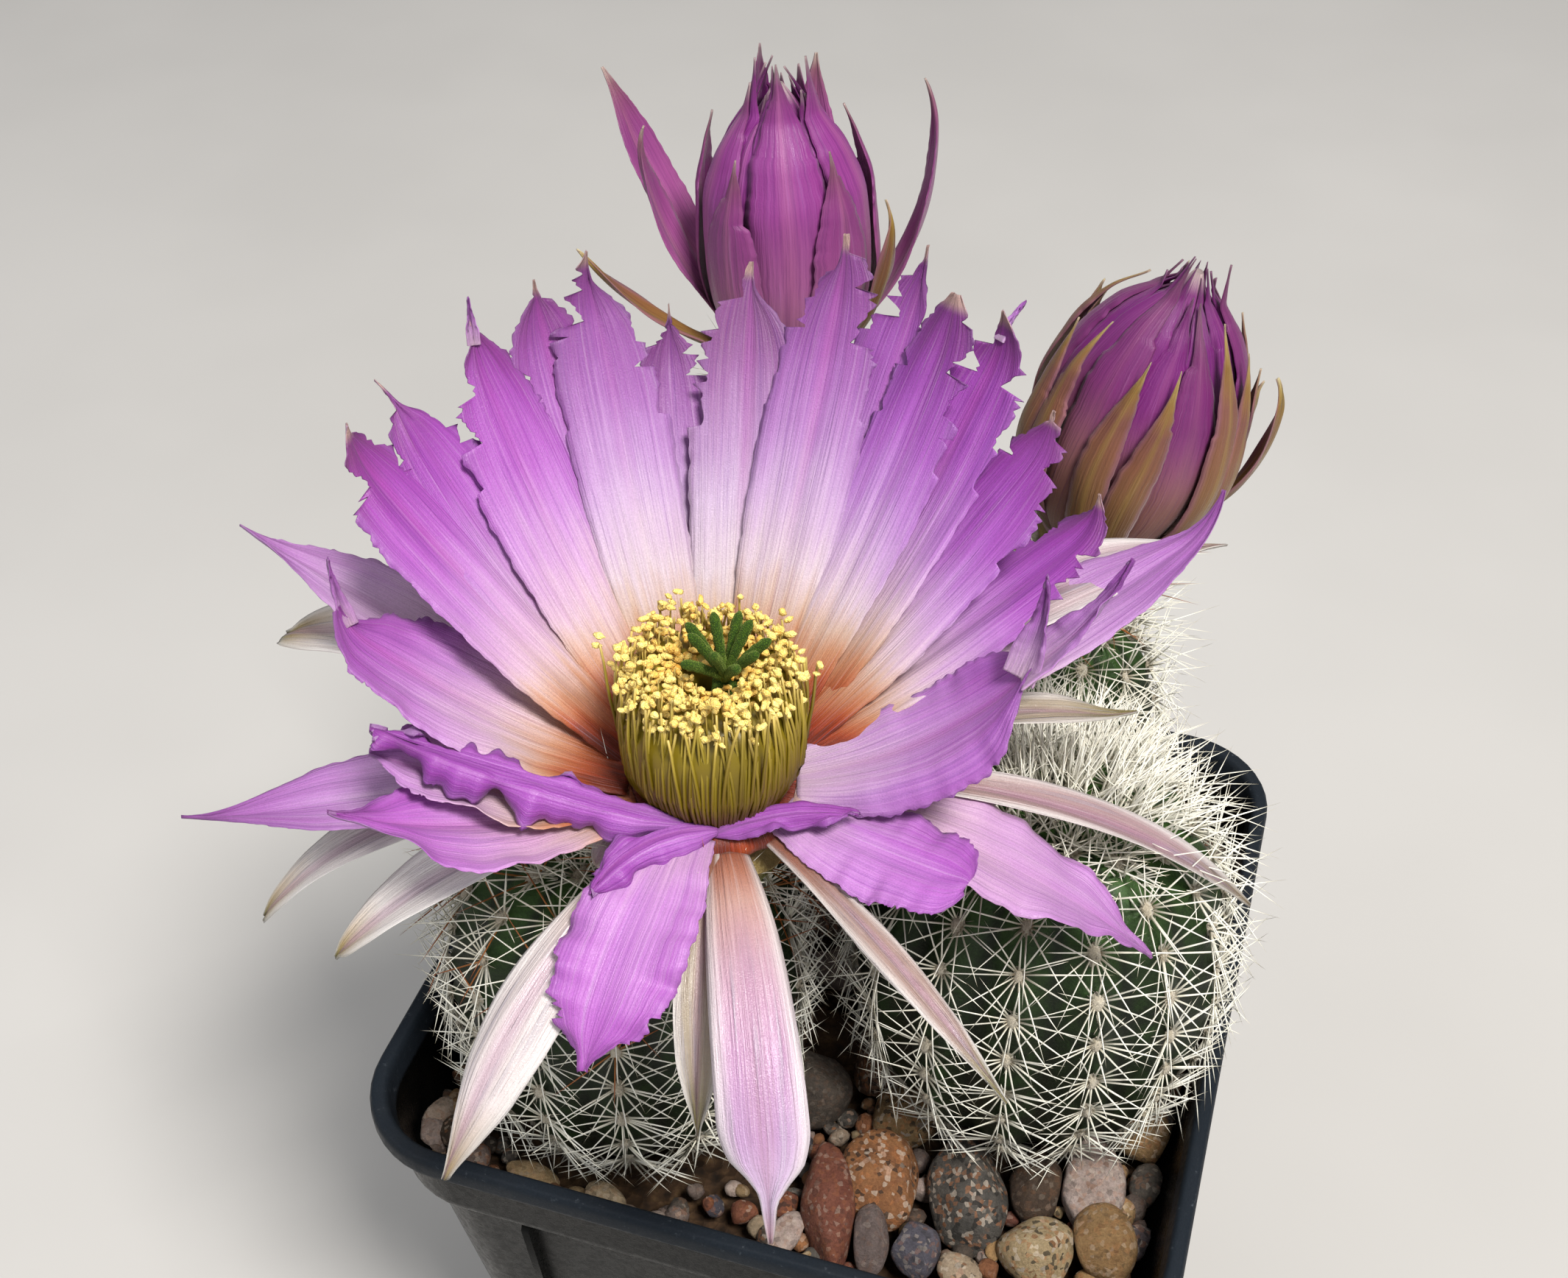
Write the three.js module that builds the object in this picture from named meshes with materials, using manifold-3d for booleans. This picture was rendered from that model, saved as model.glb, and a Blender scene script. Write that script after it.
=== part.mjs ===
// A clump of white-spined hedgehog cactus (Echinocereus reichenbachii) in a square plastic nursery pot,
// with one open flower and two buds that are about to open.
// Millimetres, +Z up. The origin is the centre of the pot's flat base, and -Y is the front.
import * as THREE from "three";
import { mergeVertices } from "three/addons/utils/BufferGeometryUtils.js";
import Module from "manifold-3d";

const wasm = await Module();
wasm.setup();
const { Manifold, Mesh: SolidMesh } = wasm;

// ------------------------------------------------------------------ driving dimensions

const CLEARANCE = 0.3; // free gap between neighbouring pieces
const BLADE = 0.6; // thickness of a petal blade

// A standard 7 cm square nursery pot. Each level of the walls: half width, corner radius, height.
const POT = {
  outside: [[25, 6, 0], [31.9, 7.4, 55.2], [33.2, 8, 56.2], [33.7, 8.2, 62.5]],
  lip: [[35, 8.9, 62.8], [35, 8.9, 64.5], [34.7, 8.6, 65], [33.8, 7.8, 65], [33.45, 7.5, 64.6]],
  inside: [[32.3, 7.2, 57.2], [30.9, 6.8, 55.5], [24, 5.2, 1.4]],
  ribHeight: 55.8, // the stiffening ribs end under the collar band
  ribFoot: 38,
  ribWidth: 1,
  ribProud: 0.9,
  ribsAt: 19.5, // distance of a side's two ribs from its middle
  holeRadius: 3,
  holesAt: 16,
};
const SOIL = { foot: 1.7, top: 53.5 };
const GRAVEL = { foot: 53.8, bed: 55, pitch: 8, stoneSmall: 2.8, stoneLarge: 4.6, reach: 30 };
const LARGE_STONE = {
  height: 57.6, // of its middle
  lean: 20,
  turn: 18,
  grow: 1.06,
  each: [ // x, y, width, depth, thickness
    [5.5, -24.8, 4.3, 10.4, 3.8], [9, -20.6, 6.6, 8, 5.4], [16.5, -19.7, 6.3, 9.2, 5.2],
    [21.8, -17.3, 4.3, 5.8, 3.8], [26.2, -16.3, 5.4, 8, 4.5], [23.3, -23.2, 6.1, 5.2, 4.2],
    [28.4, -21.3, 4.7, 5.9, 4], [9.7, -26.5, 2.8, 5.4, 2.6], [13.4, -26, 3.6, 4.4, 3],
  ],
};

// The stems: axis x and y, largest radius, height above the gravel, ribs, turn of the first rib.
const STEM_FOOT = 56.3;
const STEM_SWELL = 0.55; // lower is a blunter, more barrel-like outline
const RIB_DEPTH = 1.7;
const ROOT = { radius: 5.2, foot: 42, sides: 8 };
const STEMS = {
  stem_front: { x: -15.5, y: -15.5, radius: 15, height: 33, ribs: 14, turn: -97, tint: 0x3f5f23 },
  stem_right: { x: 17.8, y: -3.8, radius: 15.6, height: 34, ribs: 14, turn: -88, tint: 0x35561f },
  stem_back_right: { x: 13, y: 23.5, radius: 10, height: 31, ribs: 11, turn: -60, tint: 0x3b5a26 },
  stem_back_left: { x: -15, y: 19, radius: 12.5, height: 37, ribs: 12, turn: -90, tint: 0x3b5a26 },
};
const AREOLE_PITCH = 4.1; // along a rib
const SPINE = { length: 5.6, root: 0.27, sunk: 0.9, lift: 25, crownLength: 6.2, perCrown: 4 };

// The open flower: a ring on an upright axis, which every tepal grows from.
const FLOWER = { x: -4.6, y: -21.4, z: 103, ring: 6, tubeTop: 101.6 };
const COLLAR = { inner: 5.5, outer: 7.1, rise: 0.9, sides: 20 }; // what the tepals' bases join
const TUBE_PATH = [
  { x: -9.8, y: -17.6, z: 84, radius: 4.6 },
  { x: -8.2, y: -18.9, z: 90.5, radius: 4.9 },
  { x: -6, y: -20.6, z: 96.5, radius: 5.7 },
  { x: FLOWER.x, y: FLOWER.y, z: FLOWER.tubeTop, radius: 6.8 },
];

// Its tepals. azimuth is the way one points (0 is +X, 90 the back), lift the rise of its midline at the
// base and at the tip, cup how far its edges stand up, as a share of the half width, and whorl the layer
// it grows in, 0 being the innermost.
const TEPALS = [
  // kind, azimuth, length, lift at base, lift at tip, width, cup, whorl
  ["inner", 172, 32, 38, 52, 8, 0.1, 0],
  ["inner", 161, 33, 41.5, 57.5, 7.8, 0.1, 1],
  ["inner", 149, 34, 40, 58, 8, 0.08, 0],
  ["inner", 136, 35, 43.5, 61.5, 8, 0.1, 1],
  ["inner", 128, 36, 42, 60, 7.6, 0.08, 0],
  ["inner", 115, 32, 44, 61, 8, 0.08, 2],
  ["inner", 101, 34.5, 43.5, 61.5, 8.4, 0.1, 1],
  ["inner", 88, 37, 42, 60, 7.8, 0.12, 0],
  ["inner", 77, 38, 43.5, 61.5, 7.6, 0.1, 1],
  ["inner", 69, 35, 41, 59, 7.2, 0.12, 0],
  ["inner", 62, 36, 40.5, 57.5, 8, 0.12, 1],
  ["inner", 52, 31.5, 32, 47, 7.8, 0.18, 0],
  ["inner", 44, 30, 22, 34, 7.4, 0.3, 0],
  ["broad", 18, 20, 12, 55, 9, 0.2, 0],
  ["smooth", 43, 39, 14, 30, 8.6, 0.1, 2],
  ["outer", 48, 41, 39, -9, 7, 0.15, 3],
  ["outer", 35, 28, 22, -25, 3.6, 0.2, 2],
  ["outer", 23, 40.5, 4, -44, 3.8, 0.3, 2],
  ["smooth", 8, 30.5, -8, -45, 8.8, 0.1, 0],
  ["blunt", 346, 16.5, -2, 6, 9.4, -0.15, 0],
  ["outer", 326, 25, 11, -27, 3.8, 0.2, 2],
  ["outer", 295.5, 29, 21, -66, 7.6, -0.2, 2],
  ["outer", 285, 21, 11, -74, 3.4, 0.2, 2],
  ["broad", 267, 18.5, 6, -45, 10, -0.2, 0],
  ["outer", 254, 28, 14, -56, 7, -0.2, 2],
  ["outer", 214, 25, 6, -43, 5.6, 0.2, 2],
  ["outer", 197, 34, 8, -51, 5, 0.2, 2],
  ["smooth", 195, 35.3, -5, -14, 7.4, 0.15, 0],
  ["smooth", 216, 22, -5, 34, 9.4, 0.15, 0],
  ["broad", 204, 18.5, 9, 28, 8, 0.3, 0],
  ["broad", 190, 24.5, 18, 45, 11, 0.14, 0],
  ["smooth", 174, 35, 25, 15, 7.4, 0.15, 1],
  ["outer", 170, 33, 37, -24, 8, 0.2, 2],
  // the back of the flower
  ["outer", 156, 29, 30, 36, 5, 0.2, 3],
  ["outer", 132, 27, 32, 40, 5, 0.2, 3],
  ["outer", 108, 28, 32, 42, 5, 0.2, 3],
  ["outer", 84, 28, 32, 42, 5, 0.2, 3],
  ["outer", 61, 28, 28, 36, 5, 0.2, 3],
];
// Half width along a tepal, as a share of the widest: an inner one has a ragged end and a drawn-out tip,
// a broad one is widest in the middle, a smooth one narrows early and an outer one is a lance.
const TEPAL_OUTLINE = {
  inner: [[0, 0.42], [0.3, 0.7], [0.6, 0.96], [0.8, 0.94], [0.9, 0.42], [1, 0.05]],
  broad: [[0, 0.5], [0.3, 0.86], [0.55, 1], [0.78, 0.84], [0.91, 0.32], [1, 0.05]],
  smooth: [[0, 0.46], [0.3, 0.82], [0.52, 1], [0.72, 0.78], [0.87, 0.27], [1, 0.05]],
  blunt: [[0, 0.5], [0.3, 0.86], [0.6, 1], [0.86, 0.86], [1, 0.3]],
  outer: [[0, 0.42], [0.3, 0.8], [0.56, 1], [0.82, 0.55], [1, 0.06]],
};
const RAGGED_KINDS = ["inner", "broad"];
const MIDLINE_STEPS = 24; // straight steps in which a tepal's midline is walked
const WHORL = { drop: 0.45, out: 0.35, lift: 3 }; // from one whorl to the next
const RAGGED = { depth: 0.22, from: 0.7 }; // how far, and from where, a ragged end leaves its outline

// The barrel of stamens: radius and height of its outline, up the outside and down the middle hole.
const BARREL = {
  filaments: 16,
  groove: 0.4,
  outside: [[4.6, 101.9], [5.2, 103.8], [6.5, 107], [6.6, 111], [5.9, 114.2]],
  inside: [[3.2, 114.2], [2.4, 111.5], [1.4, 101.9]],
};
const ANTHERS = { count: 14, radius: 0.9, inner: 3.5, outer: 6, height: 114.5 };
const STYLE = { radius: 0.8, foot: 101.9, top: 113.2, lean: 1.1 };
const STIGMA = {
  lobes: 10,
  length: 4.7,
  radius: 0.55,
  lift: 44,
  liftEveryOther: 12, // how much more every second lobe rises
  sides: 4,
  section: [[0, 0.7], [0.8, 1], [1, 0.45]], // share of the length, share of the radius
};

const BUD_CORE = 1.7; // how far the core of a bud lies inside its outline
const BUD_CUP = 0.2; // of the tepals that stand off a bud
// The two whorls of tepals that lie on a bud: how high they start, how far they lie off the outline, and
// their width, with half widths along them as a share of the widest.
const BUD_WHORLS = {
  outer: { start: 0.7, offset: 0.5, width: 5.8 },
  inner: { start: 1.2, offset: -0.4, width: 7.4 },
};
const BUD_TEPAL = [[0, 0.45], [0.3, 0.9], [0.62, 0.95], [0.82, 0.45], [1, 0.06]];
const BRISTLES = 8; // on each tube

// The buds: base, axis, outline (radius at each height along the axis) and tube. hugging tepals lie on
// the outline, and spreading ones stand off it.
const BUDS = {
  top_bud: {
    base: { x: -13, y: 25, z: 108.6 },
    lean: { x: -0.05, y: 0 },
    outline: [[3.8, 0], [6.3, 5], [7, 11], [6.8, 16.5], [5.6, 20.5], [3.4, 24]],
    hugging: 10,
    tip: 28.5,
    // azimuth, length, lift at base, lift at tip, width
    spreading: [
      [166, 27, 44, 74, 5], [189, 23, 46, 88, 4.6], [214, 20, 24, 62, 3.2],
      [20, 27, 40, 100, 4.6], [343, 19, 40, 95, 3], [95, 24, 44, 80, 4.4],
    ],
    tube: { foot: { x: -14.6, y: 20.6, z: 90.5 }, footRadius: 4.2 },
  },
  right_bud: {
    base: { x: 15, y: 24, z: 97.6 },
    lean: { x: 0.22, y: 0 },
    outline: [[5.2, 0], [7.8, 5], [8.8, 11], [7.9, 17], [5.6, 22], [3, 25]],
    hugging: 10,
    tip: 28.5,
    spreading: [[-2, 21, 42, 110, 3.2], [24, 17, 44, 106, 3], [130, 19, 44, 100, 3]],
    tube: { foot: { x: 13.4, y: 23.6, z: 84.6 }, footRadius: 4 },
  },
};

// ------------------------------------------------------------------ geometry helpers

const vector = (x, y, z) => new THREE.Vector3(x, y, z);
const radians = THREE.MathUtils.degToRad;
const lerp = THREE.MathUtils.lerp;
const UP = vector(0, 0, 1);
const GOLDEN_ANGLE = 137.5;

// Repeatable random numbers from 0 to 1.
function randomFrom(seed) {
  let state = seed;
  return () => {
    state = (state * 1664525 + 1013904223) % 4294967296;
    return state / 4294967296;
  };
}

// The value at x on a line through points given as [value, x], with x rising.
function along(points, x) {
  let k = 0;
  while (k < points.length - 2 && x > points[k + 1][1]) k += 1;
  const [[v0, x0], [v1, x1]] = [points[k], points[k + 1]];
  return lerp(v0, v1, (x - x0) / (x1 - x0));
}

function solidOf(geometry) {
  const bare = geometry.clone();
  bare.deleteAttribute("normal");
  bare.deleteAttribute("uv");
  const merged = mergeVertices(bare, 1e-4);
  const vertProperties = new Float32Array(merged.attributes.position.array);
  const triVerts = new Uint32Array(merged.index.array);
  return new Manifold(new SolidMesh({ numProp: 3, vertProperties, triVerts }));
}

function geometryOf(solid) {
  const { vertProperties, triVerts } = solid.getMesh();
  const geometry = new THREE.BufferGeometry();
  geometry.setAttribute("position", new THREE.BufferAttribute(new Float32Array(vertProperties), 3));
  geometry.setIndex(new THREE.BufferAttribute(new Uint32Array(triVerts), 1));
  return geometry;
}

// The largest body of a solid, without the loose scraps that a cut leaves.
function largest(solid) {
  return solid.decompose().reduce((best, piece) => (piece.volume() > best.volume() ? piece : best));
}

// A closed skin over rings of points, each running anticlockwise as seen from the end of the stack.
// Sides named in flipped split their quads the other way. A looped stack joins its last ring to its
// first, and otherwise both ends are capped, by a fan or by the triangles in caps.
function loft(rings, { flipped = [], looped = false, caps = null } = {}) {
  const sides = rings[0].length;
  const index = [];
  const bands = looped ? rings.length : rings.length - 1;
  for (let k = 0; k < bands; k += 1) {
    const low = k * sides;
    const high = ((k + 1) % rings.length) * sides;
    for (let i = 0; i < sides; i += 1) {
      const j = (i + 1) % sides;
      if (flipped.includes(i)) index.push(low + i, low + j, high + i, low + j, high + j, high + i);
      else index.push(low + i, low + j, high + j, low + i, high + j, high + i);
    }
  }
  if (!looped) {
    const fan = caps ?? Array.from({ length: sides - 2 }, (_, i) => [0, i + 1, i + 2]);
    const last = (rings.length - 1) * sides;
    for (const [a, b, c] of fan) index.push(a, c, b, last + a, last + b, last + c);
  }
  const geometry = new THREE.BufferGeometry().setFromPoints(rings.flat());
  geometry.setIndex(index);
  return solidOf(geometry);
}

// A regular ring of points round an axis.
function ringAround(centre, axis, radius, sides) {
  const turn = new THREE.Quaternion().setFromUnitVectors(UP, axis.clone().normalize());
  return Array.from({ length: sides }, (_, i) => {
    const angle = (2 * Math.PI * i) / sides;
    const point = vector(radius * Math.cos(angle), radius * Math.sin(angle), 0);
    return point.applyQuaternion(turn).add(centre);
  });
}

// A square ring with round corners, four points to a corner.
function squareRing([half, corner, height]) {
  const steps = 3;
  const points = [];
  for (let quarter = 0; quarter < 4; quarter += 1) {
    const middle = radians(45 + 90 * quarter);
    const x = Math.sign(Math.cos(middle)) * (half - corner);
    const y = Math.sign(Math.sin(middle)) * (half - corner);
    for (let k = 0; k <= steps; k += 1) {
      const angle = radians(90 * (quarter + k / steps));
      points.push(vector(x + corner * Math.cos(angle), y + corner * Math.sin(angle), height));
    }
  }
  return points;
}

// A three-sided needle whose root starts a little under the surface at the point.
function needle(point, direction, length, radius, sunk) {
  const foot = point.clone().addScaledVector(direction, -sunk);
  const tip = point.clone().addScaledVector(direction, length);
  const [a, b, c] = ringAround(foot, direction, radius, 3);
  const geometry = new THREE.BufferGeometry().setFromPoints([a, b, c, tip]);
  geometry.setIndex([0, 2, 1, 0, 1, 3, 1, 2, 3, 2, 0, 3]);
  return solidOf(geometry);
}

// A thin blade on a surface given as surface(t, x): t runs from its base to its tip, and x is the
// distance from its midline. Each row is [t, left half width, right half width].
function blade(surface, rows, thickness = BLADE) {
  const rings = rows.map(([t, left, right]) => {
    const [rightEdge, middle, leftEdge] = [right, 0, -left].map((x) => {
      const point = surface(t, x);
      const ahead = surface(t + 0.01, x).sub(surface(t - 0.01, x));
      const across = surface(t, x + 0.05).sub(surface(t, x - 0.05));
      const offset = ahead.cross(across).setLength(thickness / 2);
      return { above: point.clone().add(offset), below: point.clone().sub(offset) };
    });
    const { above: a, below: b } = rightEdge;
    return [b, a, middle.above, leftEdge.above, leftEdge.below, middle.below];
  });
  const caps = [[0, 1, 2], [0, 2, 5], [5, 2, 3], [5, 3, 4]];
  return loft(rings, { flipped: [4, 5], caps });
}

// ------------------------------------------------------------------ pot, soil and gravel

function interior(grow, foot, top) {
  const walls = [...POT.inside].reverse().concat([POT.lip[4]]);
  const halfAt = (height) => along(walls.map(([half, , z]) => [half, z]), height) + grow;
  const cornerAt = (height) => along(walls.map(([, corner, z]) => [corner, z]), height) + grow;
  const levels = [foot, ...walls.map(([, , z]) => z).filter((z) => z > foot && z < top), top];
  return loft(levels.map((z) => squareRing([halfAt(z), cornerAt(z), z])));
}

function potSolid() {
  const shell = loft([...POT.outside, ...POT.lip, ...POT.inside].map(squareRing));
  const ribs = [];
  const drills = [];
  const wallAt = (height) => along(POT.outside.map(([half, , z]) => [half, z]), height);
  for (let side = 0; side < 4; side += 1) {
    for (const place of [-POT.ribsAt, POT.ribsAt]) {
      const section = (height, proud) => [
        [wallAt(height) - 0.5, place - POT.ribWidth / 2],
        [wallAt(height) + proud, place - POT.ribWidth / 2],
        [wallAt(height) + proud, place + POT.ribWidth / 2],
        [wallAt(height) - 0.5, place + POT.ribWidth / 2],
      ].map(([x, y]) => vector(x, y, height).applyAxisAngle(UP, (side * Math.PI) / 2));
      ribs.push(loft([section(POT.ribFoot, 0.1), section(POT.ribHeight - 0.7, POT.ribProud)]));
    }
  }
  for (const x of [-1, 0, 1]) {
    for (const y of [-1, 0, 1]) {
      if (x === 0 && y === 0) continue;
      const drill = new THREE.CylinderGeometry(POT.holeRadius, POT.holeRadius, 6, 6);
      drill.rotateX(Math.PI / 2).translate(x * POT.holesAt, y * POT.holesAt, 0);
      drills.push(solidOf(drill));
    }
  }
  return shell.add(Manifold.union(ribs)).subtract(Manifold.union(drills));
}

function soilSolid() {
  const holes = Object.values(STEMS).map((stem) => rootNeck(stem, CLEARANCE + 0.05));
  return interior(-CLEARANCE, SOIL.foot, SOIL.top).subtract(Manifold.union(holes));
}

// A ball with uneven corners, which a stone is squashed from.
function roughBall(random) {
  const plain = new THREE.IcosahedronGeometry(1, 0).deleteAttribute("normal").deleteAttribute("uv");
  const ball = mergeVertices(plain);
  const position = ball.attributes.position;
  for (let i = 0; i < position.count; i += 1) {
    const corner = new THREE.Vector3().fromBufferAttribute(position, i);
    corner.multiplyScalar(0.88 + 0.24 * random());
    position.setXYZ(i, corner.x, corner.y, corner.z);
  }
  return ball;
}

function placedStone(ball, scale, tilt, centre) {
  ball.scale(...scale).applyMatrix4(new THREE.Matrix4().makeRotationFromEuler(tilt));
  return solidOf(ball.translate(...centre));
}

// The large stones of the front, each leaning back a little.
function largeStones() {
  const random = randomFrom(23);
  const tilt = new THREE.Euler(radians(LARGE_STONE.lean), 0, radians(LARGE_STONE.turn));
  return LARGE_STONE.each.map(([x, y, width, depth, height]) => {
    const scale = [width, depth, height].map((size) => (size / 2) * LARGE_STONE.grow);
    return placedStone(roughBall(random), scale, tilt, [x, y, LARGE_STONE.height]);
  });
}

function gravelSolid() {
  const random = randomFrom(11);
  const pieces = [interior(-CLEARANCE - 0.05, GRAVEL.foot, GRAVEL.bed), ...largeStones()];
  const rows = Math.ceil(GRAVEL.reach / GRAVEL.pitch);
  for (let row = -rows; row <= rows; row += 1) {
    for (let column = -rows; column <= rows; column += 1) {
      const x = GRAVEL.pitch * (column + (row % 2) / 2 + 0.5 * (random() - 0.5));
      const y = GRAVEL.pitch * (row * 0.92 + 0.5 * (random() - 0.5));
      const size = lerp(GRAVEL.stoneSmall, GRAVEL.stoneLarge, random());
      const z = GRAVEL.bed + 0.5 * size + random();
      const ball = roughBall(random);
      const scale = [1 + 0.3 * random(), 0.8 + 0.15 * random(), 0.72 + 0.2 * random()].map((k) => k * size);
      const tilt = new THREE.Euler(0.9 * (random() - 0.5), 0.9 * (random() - 0.5), 2 * Math.PI * random());
      const taken = LARGE_STONE.each.some(
        ([atX, atY, width]) => Math.hypot(x - atX, y - atY) < 0.8 * size + width / 2,
      );
      const covered = Object.values(STEMS).some(
        (stem) => Math.hypot(x - stem.x, y - stem.y) < 0.74 * stem.radius,
      );
      if (taken || covered || Math.max(Math.abs(x), Math.abs(y)) >= GRAVEL.reach) continue;
      pieces.push(placedStone(ball, scale, tilt, [x, y, z]));
    }
  }
  const stems = Object.values(STEMS).map((stem) => stemBody(stem, CLEARANCE + 0.05));
  const inside = interior(-CLEARANCE - 0.05, GRAVEL.foot, POT.lip[4][2] - 0.1);
  return largest(Manifold.union(pieces).intersect(inside).subtract(Manifold.union(stems)));
}

// ------------------------------------------------------------------ stems and spines

// A point of a stem's surface: u runs from its foot (0) to its crown (1), ridge from furrow to rib.
function stemPoint(stem, u, angle, ridge, grow = 0) {
  const bulge = Math.sin(Math.PI * u);
  const radius = stem.radius * bulge ** STEM_SWELL - RIB_DEPTH * (1 - ridge) * bulge + grow;
  const rise = ((stem.height + 2 * grow) * (1 - Math.cos(Math.PI * u))) / 2 - grow;
  return vector(stem.x + radius * Math.cos(angle), stem.y + radius * Math.sin(angle), STEM_FOOT + rise);
}

function rootNeck(stem, grow = 0) {
  const ring = (z) => ringAround(vector(stem.x, stem.y, z), UP, ROOT.radius + grow, ROOT.sides);
  return loft([ring(ROOT.foot - grow), ring(STEM_FOOT + 2)]);
}

function stemBody(stem, grow = 0) {
  const columns = 2 * stem.ribs;
  const levels = [0.05, 0.16, 0.3, 0.46, 0.62, 0.76, 0.88, 0.96];
  const rings = levels.map((u) =>
    Array.from({ length: columns }, (_, i) => {
      const angle = radians(stem.turn) + (2 * Math.PI * i) / columns;
      return stemPoint(stem, u, angle, (i + 1) % 2, grow);
    }),
  );
  return loft(rings).add(rootNeck(stem, grow));
}

// The areoles of a stem: where each sits and its outward, downward and sideways directions.
function areoles(stem) {
  const list = [];
  const steps = 120;
  for (let rib = 0; rib < stem.ribs; rib += 1) {
    const angle = radians(stem.turn) + (2 * Math.PI * rib) / stem.ribs;
    let next = AREOLE_PITCH * (rib % 2 ? 0.75 : 0.25) + 1.5;
    let walked = 0;
    for (let k = Math.round(0.08 * steps); k < 0.95 * steps; k += 1) {
      const here = stemPoint(stem, k / steps, angle, 1);
      const ahead = stemPoint(stem, (k + 1) / steps, angle, 1);
      walked += here.distanceTo(ahead);
      if (walked < next) continue;
      next += AREOLE_PITCH;
      const down = here.clone().sub(ahead).normalize();
      const side = vector(-Math.sin(angle), Math.cos(angle), 0);
      list.push({ point: here, down, side, out: down.clone().cross(side).normalize() });
    }
  }
  return list;
}

// Whether a needle keeps clear of the solids round it and stays on its own side of each neighbour.
function isFree(point, direction, length, obstacles, borders) {
  const start = point.clone().addScaledVector(direction, 0.4);
  const tip = point.clone().addScaledVector(direction, length);
  if (borders.some((border) => border.distanceToPoint(tip) < CLEARANCE + SPINE.root)) return false;
  return needle(start, direction, length, SPINE.root + CLEARANCE + 0.1, 0).intersect(obstacles).isEmpty();
}

// The planes half way to each other stem, facing this one.
function bordersOf(stem) {
  const others = Object.values(STEMS).filter((other) => other !== stem);
  return others.map((other) => {
    const away = vector(stem.x - other.x, stem.y - other.y, 0);
    const gap = away.length() - stem.radius - other.radius;
    away.normalize();
    const middle = vector(other.x, other.y, 0).addScaledVector(away, other.radius + gap / 2);
    return new THREE.Plane().setFromNormalAndCoplanarPoint(away, middle);
  });
}

function stemWithSpines(stem, obstacles) {
  const random = randomFrom(stem.ribs * 31 + Math.round(stem.radius * 10));
  const borders = bordersOf(stem);
  const spines = [];
  areoles(stem).forEach(({ point, down, side, out }, k) => {
    const around = radians(k * GOLDEN_ANGLE);
    const lift = radians(SPINE.lift + 10 * (random() - 0.5));
    const flat = down.clone().multiplyScalar(Math.cos(around)).addScaledVector(side, Math.sin(around));
    const direction = out.clone().multiplyScalar(Math.sin(lift)).addScaledVector(flat, Math.cos(lift));
    const length = SPINE.length * (0.85 + 0.3 * random());
    point.addScaledVector(side, 0.5 * Math.sign(Math.sin(around)));
    if (k % 3 < 2 && isFree(point, direction, length, obstacles, borders)) {
      spines.push(needle(point, direction, length, SPINE.root, SPINE.sunk));
    }
  });
  for (let k = 0; k < SPINE.perCrown; k += 1) {
    const around = radians(k * GOLDEN_ANGLE);
    const spread = 0.9 * Math.sqrt(k / SPINE.perCrown);
    const reach = 2.2 * Math.sqrt(k / SPINE.perCrown);
    const point = stemPoint(stem, 0.98, 0, 1).setX(stem.x + reach * Math.cos(around));
    point.setY(stem.y + reach * Math.sin(around));
    const direction = vector(spread * Math.cos(around), spread * Math.sin(around), 1).normalize();
    if (isFree(point, direction, SPINE.crownLength, obstacles, borders)) {
      spines.push(needle(point, direction, SPINE.crownLength, SPINE.root, SPINE.sunk));
    }
  }
  return largest(Manifold.union([stemBody(stem), ...spines]));
}

// ------------------------------------------------------------------ tubes of the flower and buds

// A tube along a path whose last ring is square to the axis of what it carries.
function tubeSolid(path, stem, topAxis) {
  const points = path.map(({ x, y, z }) => vector(x, y, z));
  const rings = points.map((point, k) => {
    const last = k === points.length - 1;
    const axis = last ? topAxis : points[k + 1].clone().sub(points[Math.max(k - 1, 0)]);
    return ringAround(point, axis, path[k].radius, 10);
  });
  return largest(loft(rings).subtract(stemBody(stem, CLEARANCE)));
}

// Bristles on a tube, which point up and out round it, in golden-angle order.
function withBristles(solid, path, obstacles) {
  const random = randomFrom(3);
  const [foot, top] = [path[0], path[path.length - 1]];
  const bristles = [];
  for (let k = 0; k < BRISTLES; k += 1) {
    const t = 0.4 + (0.5 * (k + 0.5)) / BRISTLES;
    const around = radians(k * GOLDEN_ANGLE);
    const outward = vector(Math.cos(around), Math.sin(around), 0);
    const radius = lerp(foot.radius, top.radius, t) - 0.3;
    const place = vector(lerp(foot.x, top.x, t), lerp(foot.y, top.y, t), lerp(foot.z, top.z, t));
    place.addScaledVector(outward, radius);
    const direction = outward.clone().addScaledVector(UP, 0.5 * random()).normalize();
    const length = SPINE.length * (0.8 + 0.3 * random());
    if (isFree(place, direction, length, obstacles, [])) {
      bristles.push(needle(place, direction, length, SPINE.root, SPINE.sunk));
    }
  }
  return largest(Manifold.union([solid, ...bristles]));
}

// ------------------------------------------------------------------ the open flower

// The surface of a free tepal: from its base it follows the lift, then spreads sideways.
function freeTepal(base, { azimuth, length, liftBase, liftTip, width, cup }) {
  const way = vector(Math.cos(radians(azimuth)), Math.sin(radians(azimuth)), 0);
  const side = vector(-way.y, way.x, 0);
  const heading = (t) => {
    const lift = radians(lerp(liftBase, liftTip, t));
    return way.clone().multiplyScalar(Math.cos(lift)).addScaledVector(UP, Math.sin(lift));
  };
  return (t, x) => {
    const point = base.clone();
    for (let k = 0; k < MIDLINE_STEPS; k += 1) {
      point.addScaledVector(heading((t * (k + 0.5)) / MIDLINE_STEPS), (length * t) / MIDLINE_STEPS);
    }
    const upper = heading(t).cross(side);
    return point.addScaledVector(side, x).addScaledVector(upper, (cup * x * x) / (width / 2));
  };
}

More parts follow.
